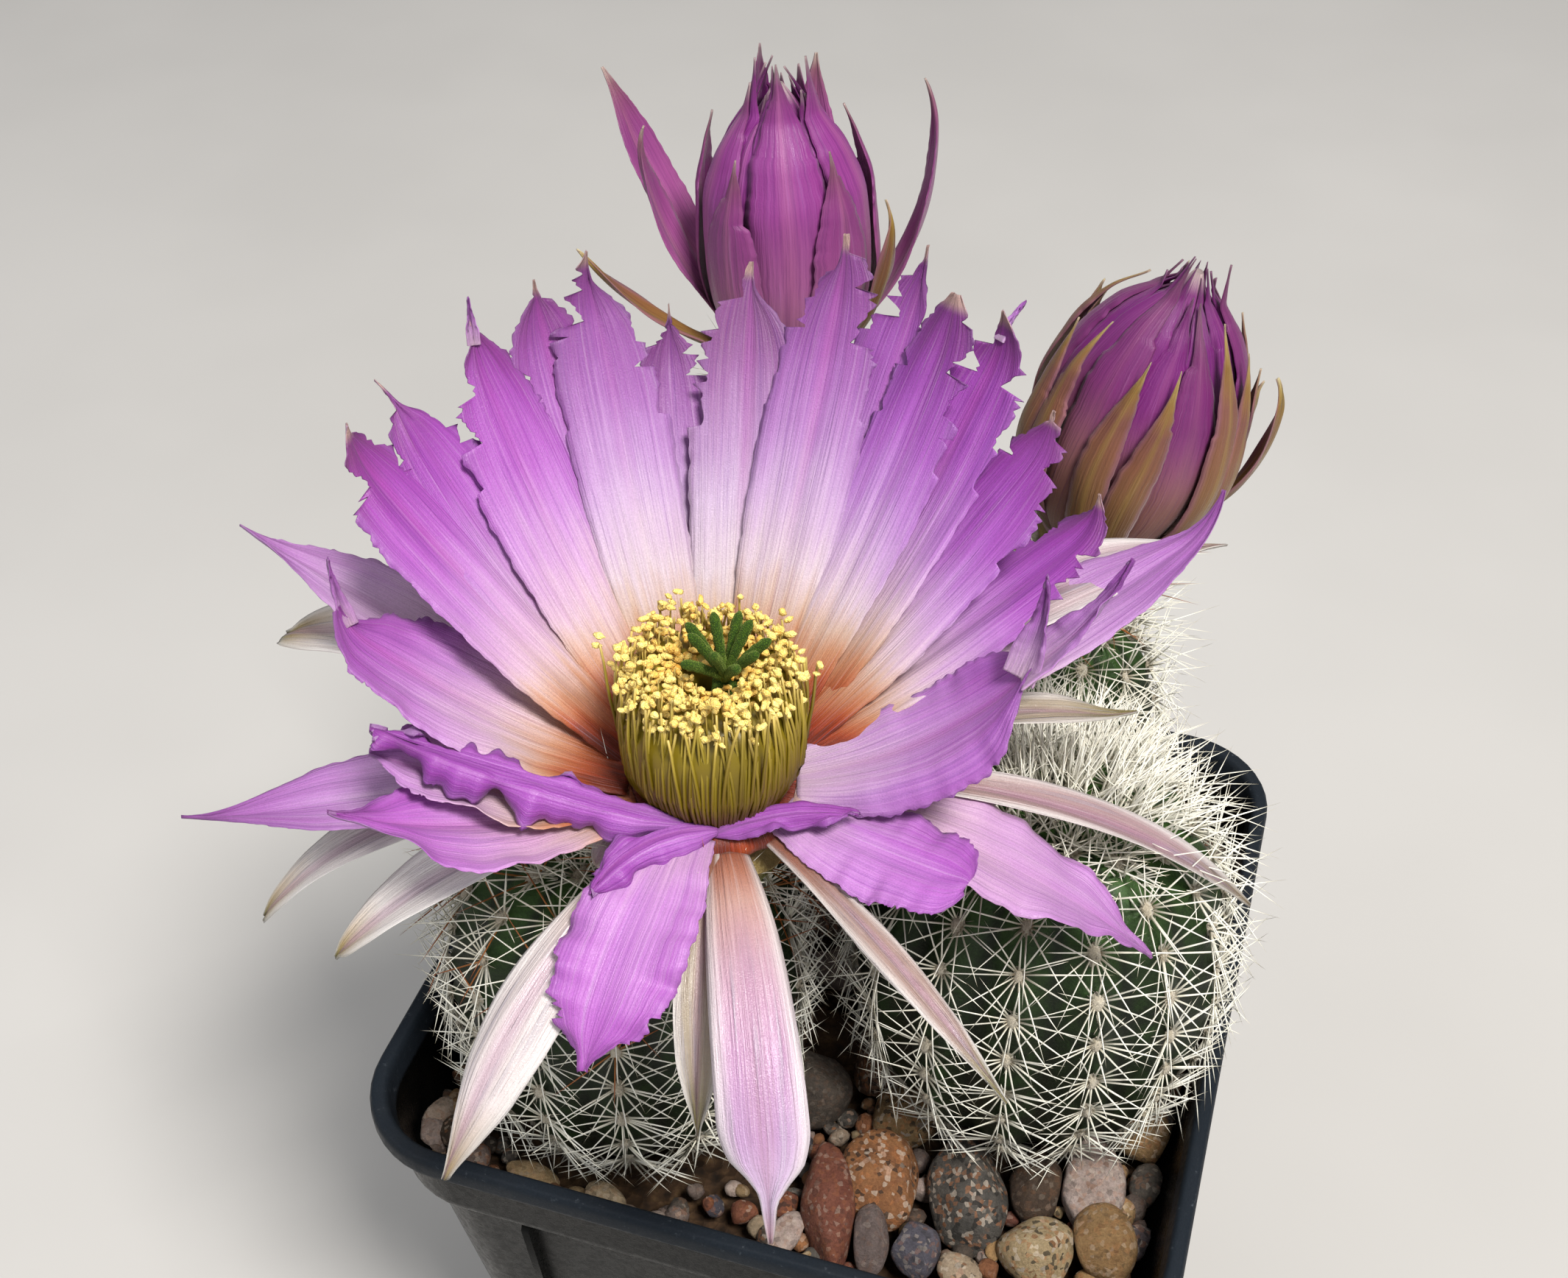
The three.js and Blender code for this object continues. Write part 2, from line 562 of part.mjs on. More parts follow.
// The rows of a tepal's outline, with ragged rows near the end of an inner or broad one.
function tepalRows(kind, width, random) {
  return TEPAL_OUTLINE[kind].map(([t, share]) => {
    const ragged = RAGGED_KINDS.includes(kind) && t > RAGGED.from && t < 1 ? RAGGED.depth : 0;
    const half = (width / 2) * share;
    return [t, half * (1 + ragged * (random() - 0.7)), half * (1 + ragged * (random() - 0.7))];
  });
}

function openFlowerPetals() {
  const random = randomFrom(5);
  const [low, high] = [FLOWER.tubeTop + CLEARANCE, FLOWER.z + COLLAR.rise];
  const { inner, outer } = COLLAR;
  const section = [[inner, low], [outer, low], [outer, high], [inner, high], [inner, low]];
  const collar = new THREE.LatheGeometry(section.map(([r, z]) => new THREE.Vector2(r, z)), COLLAR.sides);
  collar.rotateX(Math.PI / 2).translate(FLOWER.x, FLOWER.y, 0);
  const pieces = [solidOf(collar)];
  for (const [kind, azimuth, length, lift, liftEnd, width, cup, whorl] of TEPALS) {
    const base = vector(Math.cos(radians(azimuth)), Math.sin(radians(azimuth)), 0);
    base.multiplyScalar(FLOWER.ring + WHORL.out * whorl);
    base.add(vector(FLOWER.x, FLOWER.y, FLOWER.z + 0.5 - WHORL.drop * whorl));
    const [liftBase, liftTip] = [lift - WHORL.lift * whorl, liftEnd - WHORL.lift * whorl];
    const surface = freeTepal(base, { azimuth, length, liftBase, liftTip, width, cup });
    pieces.push(blade(surface, tepalRows(kind, width, random)));
  }
  return largest(Manifold.union(pieces));
}

function stamensSolid() {
  const random = randomFrom(9);
  const columns = 2 * BARREL.filaments;
  const ring = ([radius, height], groove) =>
    Array.from({ length: columns }, (_, i) => {
      const angle = (2 * Math.PI * i) / columns;
      const r = radius - (i % 2) * groove;
      return vector(FLOWER.x + r * Math.cos(angle), FLOWER.y + r * Math.sin(angle), height);
    });
  const rings = [
    ...BARREL.outside.map((level) => ring(level, BARREL.groove)),
    ...BARREL.inside.map((level) => ring(level, 0)),
  ];
  const anthers = Array.from({ length: ANTHERS.count }, (_, k) => {
    const share = (k + 0.5) / ANTHERS.count;
    const reach = lerp(ANTHERS.inner, ANTHERS.outer, Math.sqrt(share));
    const around = radians(k * GOLDEN_ANGLE);
    const grain = new THREE.OctahedronGeometry(ANTHERS.radius * (0.85 + 0.35 * random()), 0);
    grain.rotateX(random() * 3).rotateY(random() * 3);
    const height = ANTHERS.height + 0.5 * random() - 0.06 * (reach - 4) ** 2;
    grain.translate(FLOWER.x + reach * Math.cos(around), FLOWER.y + reach * Math.sin(around), height);
    return solidOf(grain);
  });
  return largest(Manifold.union([loft(rings, { looped: true }), ...anthers]));
}

function pistilSolid() {
  const foot = vector(FLOWER.x, FLOWER.y, STYLE.foot);
  const head = vector(FLOWER.x + STYLE.lean, FLOWER.y, STYLE.top);
  const style = loft([foot, head].map((point) => ringAround(point, UP, STYLE.radius, 6)));
  const lobes = Array.from({ length: STIGMA.lobes }, (_, k) => {
    const around = (2 * Math.PI * (k + 0.5)) / STIGMA.lobes;
    const lift = radians(STIGMA.lift + (k % 2 ? STIGMA.liftEveryOther : 0));
    const way = vector(Math.cos(around) * Math.cos(lift), Math.sin(around) * Math.cos(lift), Math.sin(lift));
    const rings = STIGMA.section.map(([t, share]) => {
      const middle = head.clone().addScaledVector(way, STIGMA.length * t);
      return ringAround(middle, way, STIGMA.radius * share, STIGMA.sides);
    });
    return loft(rings);
  });
  return largest(Manifold.union([style, ...lobes]));
}

// ------------------------------------------------------------------ buds

function budPetals(bud) {
  const { base, outline, hugging, tip, spreading } = bud;
  const tilt = new THREE.Quaternion().setFromUnitVectors(UP, budAxis(bud));
  const origin = vector(base.x, base.y, base.z);
  const place = (point) => point.applyQuaternion(tilt).add(origin);
  const coreRing = ([radius, height], k) =>
    ringAround(vector(0, 0, height), UP, radius - (k === 0 ? 0.2 : BUD_CORE), 10).map(place);
  const pieces = [loft(outline.slice(0, -1).map(coreRing))];
  const top = outline[outline.length - 1][1];
  for (let k = 0; k < hugging; k += 1) {
    // The two whorls alternate: the outer tepals start lower, end lower and lie over the inner ones.
    const outer = k % 2 === 1;
    const around = (2 * Math.PI * k) / hugging;
    const { start, offset, width } = outer ? BUD_WHORLS.outer : BUD_WHORLS.inner;
    const end = outer ? top - 1 + (k % 3) : tip - (k % 4);
    const surface = (t, x) => {
      const height = lerp(start, end, t);
      const proud = lerp(-0.9, offset, Math.min(1, 4 * t));
      const radius = along(outline, Math.min(height, top)) + proud - 0.25 * Math.max(0, height - top);
      const angle = around + x / Math.max(radius, 2.4);
      return place(vector(radius * Math.cos(angle), radius * Math.sin(angle), height));
    };
    pieces.push(blade(surface, BUD_TEPAL.map(([t, w]) => [t, (w * width) / 2, (w * width) / 2])));
  }
  for (const [azimuth, length, liftBase, liftTip, width] of spreading) {
    const way = vector(Math.cos(radians(azimuth)), Math.sin(radians(azimuth)), 0);
    const root = way.multiplyScalar(outline[0][0] - 0.4).setZ(1.4);
    const surface = freeTepal(root, { azimuth, length, liftBase, liftTip, width, cup: BUD_CUP });
    const rows = tepalRows("outer", width, () => 0.7);
    pieces.push(blade((t, x) => place(surface(t, x)), rows));
  }
  return largest(Manifold.union(pieces));
}

function budAxis({ lean }) {
  return vector(lean.x, lean.y, 1).normalize();
}

function budTubePath(bud) {
  const { base, outline, tube: { foot, footRadius } } = bud;
  const end = vector(base.x, base.y, base.z).addScaledVector(budAxis(bud), -CLEARANCE);
  const top = { x: end.x, y: end.y, z: end.z, radius: outline[0][0] - 0.2 };
  const middle = {
    x: (foot.x + top.x) / 2, y: (foot.y + top.y) / 2, z: (foot.z + top.z) / 2,
    radius: (footRadius + top.radius) / 2 - 0.2,
  };
  return [{ ...foot, radius: footRadius }, middle, top];
}

// ------------------------------------------------------------------ the clump

const solids = {};
solids.pot = potSolid();
solids.soil = soilSolid();
solids.gravel = gravelSolid();
solids.open_flower_petals = openFlowerPetals();
solids.open_flower_stamens = stamensSolid();
solids.open_flower_pistil = pistilSolid();
for (const [name, bud] of Object.entries(BUDS)) solids[`${name}_petals`] = budPetals(bud);

const tubes = {
  open_flower: { path: TUBE_PATH, stem: STEMS.stem_front, axis: UP },
  top_bud: {
    path: budTubePath(BUDS.top_bud), stem: STEMS.stem_back_left, axis: budAxis(BUDS.top_bud),
  },
  right_bud: {
    path: budTubePath(BUDS.right_bud), stem: STEMS.stem_back_right, axis: budAxis(BUDS.right_bud),
  },
};
const bodies = Object.values(STEMS).map((stem) => stemBody(stem));
for (const [name, { path, stem, axis }] of Object.entries(tubes)) {
  const others = Manifold.union([...Object.values(solids), ...bodies]);
  solids[`${name}_tube`] = withBristles(tubeSolid(path, stem, axis), path, others);
}
const surroundings = Manifold.union(Object.values(solids));
Object.entries(STEMS).forEach(([name, stem], k) => {
  const neighbours = bodies.filter((_, j) => j !== k);
  solids[name] = stemWithSpines(stem, Manifold.union([surroundings, ...neighbours]));
});

const COLOURS = {
  pot: 0x17181c, soil: 0x2b211a, gravel: 0x8a7764,
  open_flower_tube: 0x5c6a34, open_flower_petals: 0xc77fd6, open_flower_stamens: 0xd9c15a,
  open_flower_pistil: 0x2f6b22, top_bud_tube: 0x5c6a34, top_bud_petals: 0x8e2fa0,
  right_bud_tube: 0x5c6a34, right_bud_petals: 0x9a6a4a,
};
const ROUGHNESS = { pot: 0.4, soil: 0.95, gravel: 0.85, living: 0.6 };

const cactus = new THREE.Group();
for (const [name, solid] of Object.entries(solids)) {
  const material = new THREE.MeshStandardMaterial({
    color: COLOURS[name] ?? STEMS[name].tint,
    roughness: ROUGHNESS[name] ?? ROUGHNESS.living,
    metalness: 0,
    flatShading: true,
  });
  const mesh = new THREE.Mesh(geometryOf(solid), material);
  mesh.name = name;
  cactus.add(mesh);
}

export default cactus;
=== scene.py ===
"""The looks of a clump of white-spined hedgehog cactus in a square nursery pot, built round its solids.

Drawing units are millimetres, as in the part's source; a mesh is scaled to metres when it is made.
Every surface carries two vector attributes that its material reads: form (along, across, side) and
look (tint, blend, streak), where side is 1 on an upper face and -1 on a lower one.
"""
import math

import bpy
import bmesh
import numpy as np
from mathutils import Matrix


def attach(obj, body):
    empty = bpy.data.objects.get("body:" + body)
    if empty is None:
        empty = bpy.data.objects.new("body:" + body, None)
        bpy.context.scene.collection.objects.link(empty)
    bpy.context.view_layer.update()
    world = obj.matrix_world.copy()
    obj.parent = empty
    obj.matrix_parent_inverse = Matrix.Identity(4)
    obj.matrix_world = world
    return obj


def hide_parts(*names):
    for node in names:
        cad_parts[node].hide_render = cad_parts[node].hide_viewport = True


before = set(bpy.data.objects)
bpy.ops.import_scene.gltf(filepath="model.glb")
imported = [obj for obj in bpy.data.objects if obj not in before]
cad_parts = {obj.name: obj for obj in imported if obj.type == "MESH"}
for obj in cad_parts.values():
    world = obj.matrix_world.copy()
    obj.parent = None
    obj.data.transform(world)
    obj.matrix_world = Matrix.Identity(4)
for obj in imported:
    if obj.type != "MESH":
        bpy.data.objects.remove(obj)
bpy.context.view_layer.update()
MM = 0.001

# ---------------------------------------------------------------- the part's own dimensions

# Levels of the pot: half its side, the radius of its corners, and the height.
POT = {
    "outside": [(25, 6, 0), (31.9, 7.4, 55.2), (33.2, 8, 56.2), (33.7, 8.2, 62.5)],
    "lip": [(35, 8.9, 62.8), (35, 8.9, 64.5), (34.7, 8.6, 65), (33.8, 7.8, 65), (33.45, 7.5, 64.6)],
    "inside": [(32.3, 7.2, 57.2), (30.9, 6.8, 55.5), (24, 5.2, 1.4)],
}
# levels are the height and how far a stiffening rib stands proud of the wall there.
RIB = {"levels": [(38, 0.1), (40, 0.8), (54.6, 0.9), (55.1, 0.6)], "width": 1, "sunk": 0.5, "at": 19.5}
HOLE = {"radius": 3, "at": 16, "sides": 24}
# wall is how far stones reach out at each height, before the pot's rounded corners.
GRAVEL = {
    "bed": 55, "pitch": 8, "row": 0.92, "small": 2.8, "large": 4.6, "reach": 30, "corner": 7.2,
    "wall": [(55.5, 30.6), (57.2, 32), (64.6, 33.2)], "plump": 0.97,
}
# Fineness, how many, smallest and largest size, and from which y to which, of the stones between.
GRIT = [(3, 70, 1.2, 2.1, -31, 31), (2, 420, 0.5, 1.3, -31.5, -12)]
GRIT_REACH = 31.5
# How many draws the solids spend on the shape of each stone, which the scene skips.
STONE_DRAWS = 12
SMALL_STONE = {"height": 56.7, "thickness": 0.7, "grow": 1.1}
LARGE_STONE = {"height": 57.6, "lean": 20, "turn": 18, "grow": 1.06, "plump": 1.04}
# x, y, width, depth and thickness as in the solids, then which rock it is and how speckled.
LARGE_STONES = [
    (5.5, -24.8, 4.3, 10.4, 3.8, 0.0, 0.4), (9, -20.6, 6.6, 8, 5.4, 0.15, 1),
    (16.5, -19.7, 6.3, 9.2, 5.2, 0.29, 1), (21.8, -17.3, 4.3, 5.8, 3.8, 0.42, 0.2),
    (26.2, -16.3, 5.4, 8, 4.5, 0.58, 0.5), (23.3, -23.2, 6.1, 5.2, 4.2, 0.7, 1),
    (28.4, -21.3, 4.7, 5.9, 4, 0.85, 0.4), (9.7, -26.5, 2.8, 5.4, 2.6, 0.96, 0.2),
    (13.4, -26, 3.6, 4.4, 3, 1.0, 0.5),
]
# x, y, width, depth and which rock it is.
SMALL_STONES = [
    (29.1, -17.1, 2.5, 2.8, 0.8), (31.1, -13.7, 3.2, 3.7, 0.33), (31, -19.5, 3.1, 2.8, 0.98),
    (17.3, -26.6, 3.6, 2.7, 0.66), (19.6, -23.6, 1.5, 2, 0.85), (19.6, -25.7, 1.8, 1.8, 0.1),
    (2.6, -27.4, 2.4, 3.9, 0.56), (1.4, -24.8, 2.5, 2.5, 0.02), (30.5, -7.5, 4.4, 4.4, 0.29),
    (32.5, -3.1, 2.6, 2.6, 0.14), (-31.2, -25.8, 2.3, 4.6, 0.62), (-29.7, -23.6, 2.6, 2.6, 0.84),
    (-28.6, -26.4, 2.6, 2.6, 0.4), (-26, -28.4, 2.6, 2.6, 0.95), (-20.3, -28.5, 4.5, 2.2, 0.76),
    (-13.2, -29, 3.8, 2.5, 0.68),
]
STEM_FOOT = 56.3
STEM_SWELL = 0.55
RIB_DEPTH = 1.7
AREOLE_PITCH = 4.1
RIB_STEPS = np.arange(0.08, 0.97, 1 / 240)
# tufts and brush are how many bunches of young spines stand on a stem's top, and how long they are.
STEMS = {
    "stem_front": dict(x=-15.5, y=-15.5, radius=15, height=33, ribs=14, turn=-97, tufts=14, brush=7),
    "stem_right": dict(x=17.8, y=-3.8, radius=15.6, height=34, ribs=14, turn=-88, tufts=46, brush=12),
    "stem_back_right": dict(x=13, y=23.5, radius=10, height=31, ribs=11, turn=-60, tufts=10, brush=6),
    "stem_back_left": dict(x=-15, y=19, radius=12.5, height=37, ribs=12, turn=-90, tufts=12, brush=7),
}
SPINE = {"fewest": 13, "most": 16, "length": 4.9, "sideways": 1.1, "radius": 0.1, "clear": 0.7}
TUFT = {"needles": 17, "radius": 0.13, "spread": 0.52}
HAIR = {"of_areole": 11, "radius": 0.045, "of_crown": 260, "crown_radius": 0.07}
FLOWER = {"x": -4.6, "y": -21.4, "z": 103, "ring": 6}
# x, y, z and radius along the open flower's tube.
FLOWER_TUBE = [
    (-9.8, -17.6, 84, 4.6), (-8.2, -18.9, 90.5, 4.9), (-6, -20.6, 96.5, 5.7), (-4.6, -21.4, 101.6, 6.8),
]
WHORL = {"drop": 0.45, "out": 0.35, "lift": 3}
GOLDEN_ANGLE = 137.5


def tepal(*sizes, **extra):
    """A row of TEPALS: its sizes, then what only shows up close."""
    return *sizes, extra


# Each tepal of the open flower: kind, azimuth, length, lift at its base and tip, width, cup and whorl,
# about as in the solids, then what only shows up close. curl and hook turn the tip, wave ruffles the
# edges, pink, pale and tan are its colour (pale partly painted shade, on the rear middle tepals), tones
# the part of the colours it runs through, spurs grow from its end (azimuth, length, lift at base and tip,
# width) and rolls turn an edge over (half 0 or 1, from t, to t, degrees, where across the half it starts
# and over how much of it, and how much wider that half is).
TEPALS = [
    tepal("inner", 172, 32, 38, 52, 8, 0.1, 0, curl=40, hook=25, pink=0.5),
    tepal("inner", 161, 33, 41.5, 57.5, 7.8, 0.1, 1, curl=-30, pink=0.35),
    tepal("inner", 149, 34, 40, 58, 8, 0.08, 0, curl=30, hook=-30, pink=0.45, spurs=[(120, 4, 70, 110, 1)]),
    tepal("inner", 136, 35, 43.5, 61.5, 8, 0.1, 1, curl=30, pink=0.3, pale=0.3),
    tepal("inner", 128, 36, 42, 60, 7.6, 0.08, 0, curl=40, hook=30, pink=0.1, pale=0.5),
    tepal("inner", 115, 32, 44, 61, 8, 0.08, 2, curl=30, pink=0, pale=0.6),
    tepal("inner", 101, 34.5, 43.5, 61.5, 8.4, 0.1, 1, pink=0.25, pale=0.9),
    tepal("inner", 88, 37, 42, 60, 7.8, 0.12, 0, curl=20, pink=0.1, pale=0.5),
    tepal("inner", 77, 38, 43.5, 61.5, 7.6, 0.1, 1, curl=30, hook=-20, pink=0, pale=0.3),
    tepal("inner", 69, 35, 41, 59, 7.2, 0.12, 0, curl=20, pink=0, pale=0.1),
    tepal("inner", 62, 36, 40.5, 57.5, 8, 0.12, 1, curl=50, pink=0.2, spurs=[(60, 3.5, 60, 20, 1)]),
    tepal("inner", 52, 31.5, 32, 47, 7.8, 0.18, 0, curl=30, hook=20, pink=0.2),
    tepal("inner", 44, 30, 22, 34, 7.4, 0.3, 0, curl=60, hook=30, pink=0.3),
    tepal("broad", 18, 20, 12, 55, 9, 0.2, 0, torn=0.05, wave=0.15, pink=0.3, pale=0.15, tones=(0.36, 0.76),
          rolls=[(0, -0.3, 1.15, -62, 0.45, 0.3, 1.35)], spurs=[(60, 8.5, 62, 95, 3), (25, 12, 42, 68, 3.8)]),
    tepal("smooth", 43, 39, 14, 30, 8.6, 0.1, 2, curl=50, hook=20, pink=0.4, pale=0.3, tones=(0.05, 0.8)),
    tepal("outer", 48, 41, 39, -9, 7, 0.15, 3, pink=0.5, tan=0.4),
    tepal("outer", 35, 28, 22, -25, 3.6, 0.2, 2, tan=0.8, curl=30),
    tepal("outer", 23, 40.5, 4, -44, 3.8, 0.3, 2, tan=0.75, pink=1),
    tepal("smooth", 8, 30.5, -8, -45, 8.8, 0.04, 0, shape="tailed", wave=0.5, pink=0.7, pale=0.2,
          tones=(0.26, 0.62)),
    tepal("blunt", 346, 14.6, -2, 6, 8.6, -0.1, 0, wave=0.25, pink=0.5, tones=(0.4, 0.7)),
    tepal("outer", 326, 25, 11, -27, 2.6, -0.2, 2, tan=0.95, pink=1),
    tepal("outer", 296.5, 29, 21, -66, 6.4, -0.3, 2, shape="shouldered", pink=1),
    tepal("outer", 285, 21, 11, -74, 3.4, 0.2, 2, tan=0.8),
    tepal("broad", 267, 18.5, 6, -45, 9.2, 0.04, 0, torn=0.35, wave=0.5, pink=0.6, tones=(0.42, 0.74)),
    tepal("outer", 251, 28, 7, -50, 6.2, -0.5, 2, pink=0.2, tan=0.2),
    tepal("outer", 214, 25, 6, -43, 5.6, 0.2, 2, shape="strap"),
    tepal("outer", 197, 34, 8, -51, 5, 0.2, 2, shape="strap"),
    tepal("smooth", 195, 34.2, -5, -14, 7.4, 0.15, 0, curl=20, pink=0.5, pale=0.4, tones=(0.2, 0.78)),
    tepal("smooth", 216, 22, -5, 34, 9.4, 0.15, 0, wave=0.5, waves=2, pink=0.7, tones=(0.12, 0.86),
          rolls=[(1, -0.5, 0.95, 0, 0.5, 0.3, 1.3)]),
    tepal("broad", 204, 18.5, 10.5, 30, 8, 0.24, 1, wave=0.2, pink=0.5, tones=(0.06, 0.56),
          rolls=[(1, -0.6, 0.75, 0, 0.5, 0.3, 1.55)]),
    tepal("broad", 190, 24.5, 18, 45, 11, 0.14, 0, curl=30, hook=-20, wave=0.2, pink=0.6, pale=0.15,
          tones=(0, 0.84), spurs=[(150, 5.5, 55, 95, 1.3)]),
    tepal("smooth", 174, 35, 25, 15, 7.4, 0.15, 1, curl=10, pink=0.8, pale=0.5, tones=(0, 0.72)),
    tepal("outer", 170, 33, 37, -24, 8, 0.2, 2, shape="strap"),
    tepal("outer", 156, 29, 30, 36, 5, 0.2, 3),
    tepal("outer", 132, 27, 32, 40, 5, 0.2, 3),
    tepal("outer", 108, 28, 32, 42, 5, 0.2, 3),
    tepal("outer", 84, 28, 32, 42, 5, 0.2, 3),
    tepal("outer", 61, 28, 28, 36, 5, 0.2, 3),
]
INNERMOST_CUP = -0.06
# Short scales under the front tepals, which hide the flower's foot: azimuth and lift.
SCALES = [(226, -30), (240, -40), (350, -20), (12, -15)]
# Curled edges that lie over the front tepals: azimuth on the flower's ring, height above it, azimuth, bend,
# length, lift at base and tip, width and wave.
CURLS = [
    (291, 0.7, 200, 58, 10.6, 16, -24, 5.2, 0.8),
    (268, 1.1, 189, 1, 22.5, 15.5, 18, 5.6, 1.3),
    (289, 0.2, 30, -18, 10.4, 25, -9, 5.2, 0.6),
]
CURL_ROLLS = [(0, -1, 2, 0, 0.5, 0.3, 0.5), (1, -1, 2, -55, 0.15, 0.5, 1.2)]
# Half width along a tepal as a share of the widest.
OUTLINE = {
    "inner": [(0, 0.5), (0.15, 0.68), (0.35, 0.9), (0.55, 1.02), (0.7, 1.06), (0.8, 0.98), (0.87, 0.78),
              (0.92, 0.48), (0.95, 0.2), (0.97, 0.07), (1, 0.008)],
    "broad": [(0, 0.55), (0.15, 0.7), (0.35, 0.92), (0.55, 1), (0.76, 0.94), (0.86, 0.72), (0.93, 0.34),
              (0.965, 0.12), (1, 0.015)],
    "smooth": [(0, 0.5), (0.15, 0.64), (0.35, 0.9), (0.52, 1), (0.68, 0.9), (0.78, 0.62), (0.86, 0.34),
               (0.92, 0.15), (0.96, 0.06), (1, 0.01)],
    "blunt": [(0, 0.5), (0.3, 0.86), (0.6, 1), (0.82, 0.96), (0.92, 0.78), (0.97, 0.5), (1, 0.08)],
    "tailed": [(0, 0.5), (0.3, 0.84), (0.52, 1), (0.66, 0.94), (0.76, 0.7), (0.83, 0.4), (0.88, 0.2),
               (0.94, 0.1), (1, 0.02)],
    "shouldered": [(0, 0.5), (0.3, 0.84), (0.55, 0.97), (0.7, 1), (0.78, 0.84), (0.83, 0.45), (0.87, 0.2),
                   (0.93, 0.12), (1, 0.02)],
    "strap": [(0, 0.5), (0.3, 0.85), (0.6, 1), (0.8, 0.85), (0.9, 0.6), (0.97, 0.32), (1, 0.05)],
    "outer": [(0, 0.5), (0.3, 0.8), (0.56, 1), (0.72, 0.86), (0.85, 0.48), (0.94, 0.16), (1, 0.03)],
    "curl": [(0, 0.12), (0.06, 0.4), (0.16, 0.8), (0.35, 1), (0.7, 0.95), (0.88, 0.6), (0.96, 0.25),
             (1, 0.03)],
    "spur": [(0, 1), (0.2, 1), (0.45, 0.7), (0.65, 0.4), (0.82, 0.2), (1, 0.02)],
    "hug": [(0, 0.5), (0.3, 0.92), (0.56, 1), (0.74, 0.72), (0.86, 0.32), (0.94, 0.1), (1, 0.02)],
}
# How deep the torn edge of each kind is, as a share of its half width.
TORN = {
    "inner": 0.75, "broad": 0.2, "blunt": 0.12, "smooth": 0.08, "tailed": 0.08, "outer": 0.05, "curl": 0.22,
    "hug": 0.35,
}

# Radius and height up the barrel of stamens.
BARREL = [(4.6, 101.9), (5.2, 103.8), (6.5, 107), (6.6, 111), (5.9, 114.6)]
BARREL_CORE = [
    (4.9, 101.9), (5.25, 103.8), (6.5, 107), (6.55, 110.8), (5.3, 113), (4, 113.2), (2.6, 112.6),
    (1.5, 112), (1.4, 101.9),
]
# Rings of stamens from the outside in: radius at the foot and top, height of the top, how many, and how
# far they follow the barrel's swell.
STAMEN_RINGS = [
    (5.0, 5.4, 113.4, 160, 1.0), (4.8, 4.9, 114.6, 80, 0.9), (4.2, 4.2, 114.8, 64, 0.6),
    (3.4, 3.4, 114.4, 50, 0.4), (2.6, 2.6, 113.8, 40, 0.2), (2.0, 1.9, 113.2, 30, 0.1),
]
ANTHER = (0.22, 0.22, 0.36)
LOOSE_ANTHERS = 170
# Radius and height round the collar, and how far along a tepal the colour of each is.
COLLAR = [(5.3, 101.95), (6.4, 101.9), (6.9, 102.2), (6.9, 102.8), (6.4, 103.4), (5.9, 103.6), (5.35, 103.6)]
COLLAR_TONES = [0.08, 0.1, 0.09, 0.07, 0.05, 0.03, 0.01]
STYLE = {"radius": 0.8, "foot": 101.9, "top": 113.2, "lean": 1.1}
STIGMA = {"lobes": 10, "length": 4.9, "radius": 0.38, "lift": 44, "every_other": 12}

# Each bud's outline is radius and height, and its spreading tepals are azimuth, length, lift at base and
# tip, and width. olive is how far the outer tepals go from violet to olive tan.
BUDS = {
    "top_bud": {
        "base": (-13, 25, 108.6),
        "lean": (-0.05, 0),
        "outline": [(3.8, 0), (6.3, 5), (7, 11), (6.8, 16.5), (5.6, 20.5), (3.4, 24)],
        "tip": 28.5,
        "sepals": 10,
        "spreading": [
            (166, 27, 44, 74, 5), (189, 23, 46, 88, 4.6), (214, 20, 24, 62, 3.2),
            (20, 27, 40, 100, 4.6), (343, 19, 40, 95, 3), (95, 24, 44, 80, 4.4),
        ],
        "tube_foot": (-14.6, 20.6, 90.5, 4.2),
        "olive": 0.25,
    },
    "right_bud": {
        "base": (15, 24, 97.6),
        "lean": (0.22, 0),
        "outline": [(5.2, 0), (7.8, 5), (8.8, 11), (7.9, 17), (5.6, 22), (3, 25)],
        "tip": 28.5,
        "sepals": 18,
        "spreading": [(-2, 21, 42, 110, 3.2), (24, 17, 44, 106, 3), (130, 19, 44, 100, 3)],
        "tube_foot": (13.4, 23.6, 84.6, 4),
        "olive": 1.0,
    },
}
INNER_SEPALS = 12
TUBE_AREOLES = 26

# The camera stands where the photographer did: azimuth, elevation and roll of the view, its distance
# from the middle of the pot's rim and its offset from it, and the focal length in picture widths.
VIEW = {"azimuth": 17.9, "elevation": 41, "roll": -0.5, "distance": 181, "aside": -6.07, "above": 26.49}
VIEW_CENTRE = (0, 0, 65)
FOCAL_SHARE = 2662 / 2130
# Azimuth, elevation, distance and size in metres, power and colour of each soft lamp.
LAMPS = {
    "key": (50, 60, 0.9, 0.22, 13.4, (1, 0.97, 0.93)),
    "fill": (-50, 40, 1.0, 0.8, 3, (0.94, 0.96, 1)),
    "low": (25, 22, 1.0, 0.5, 1.6, (1, 1, 1)),
    "top": (180, 70, 1.0, 0.5, 2, (1, 1, 1)),
}
LAMP_AIM = (0, 0, 0.08)
FLOOR_HALF = 3000

# ---------------------------------------------------------------- numbers and meshes


def lerp(a, b, t):
    return a + (b - a) * t


def unit(v):
    v = np.asarray(v, float)
    return v / np.maximum(np.linalg.norm(v, axis=-1, keepdims=True), 1e-12)


def smooth(t):
    t = np.clip(t, 0, 1)
    return t * t * (3 - 2 * t)


def turns(count, start=0.0):
    """Angles spaced evenly round a circle."""
    return start + 2 * np.pi * np.arange(count) / count


def stacked(*parts):
    """The parts broadcast to one shape and joined along a new last axis."""
    return np.stack(np.broadcast_arrays(*parts), -1)


def heading(angle):
    """The level direction at that angle."""
    return np.array([math.cos(angle), math.sin(angle), 0])


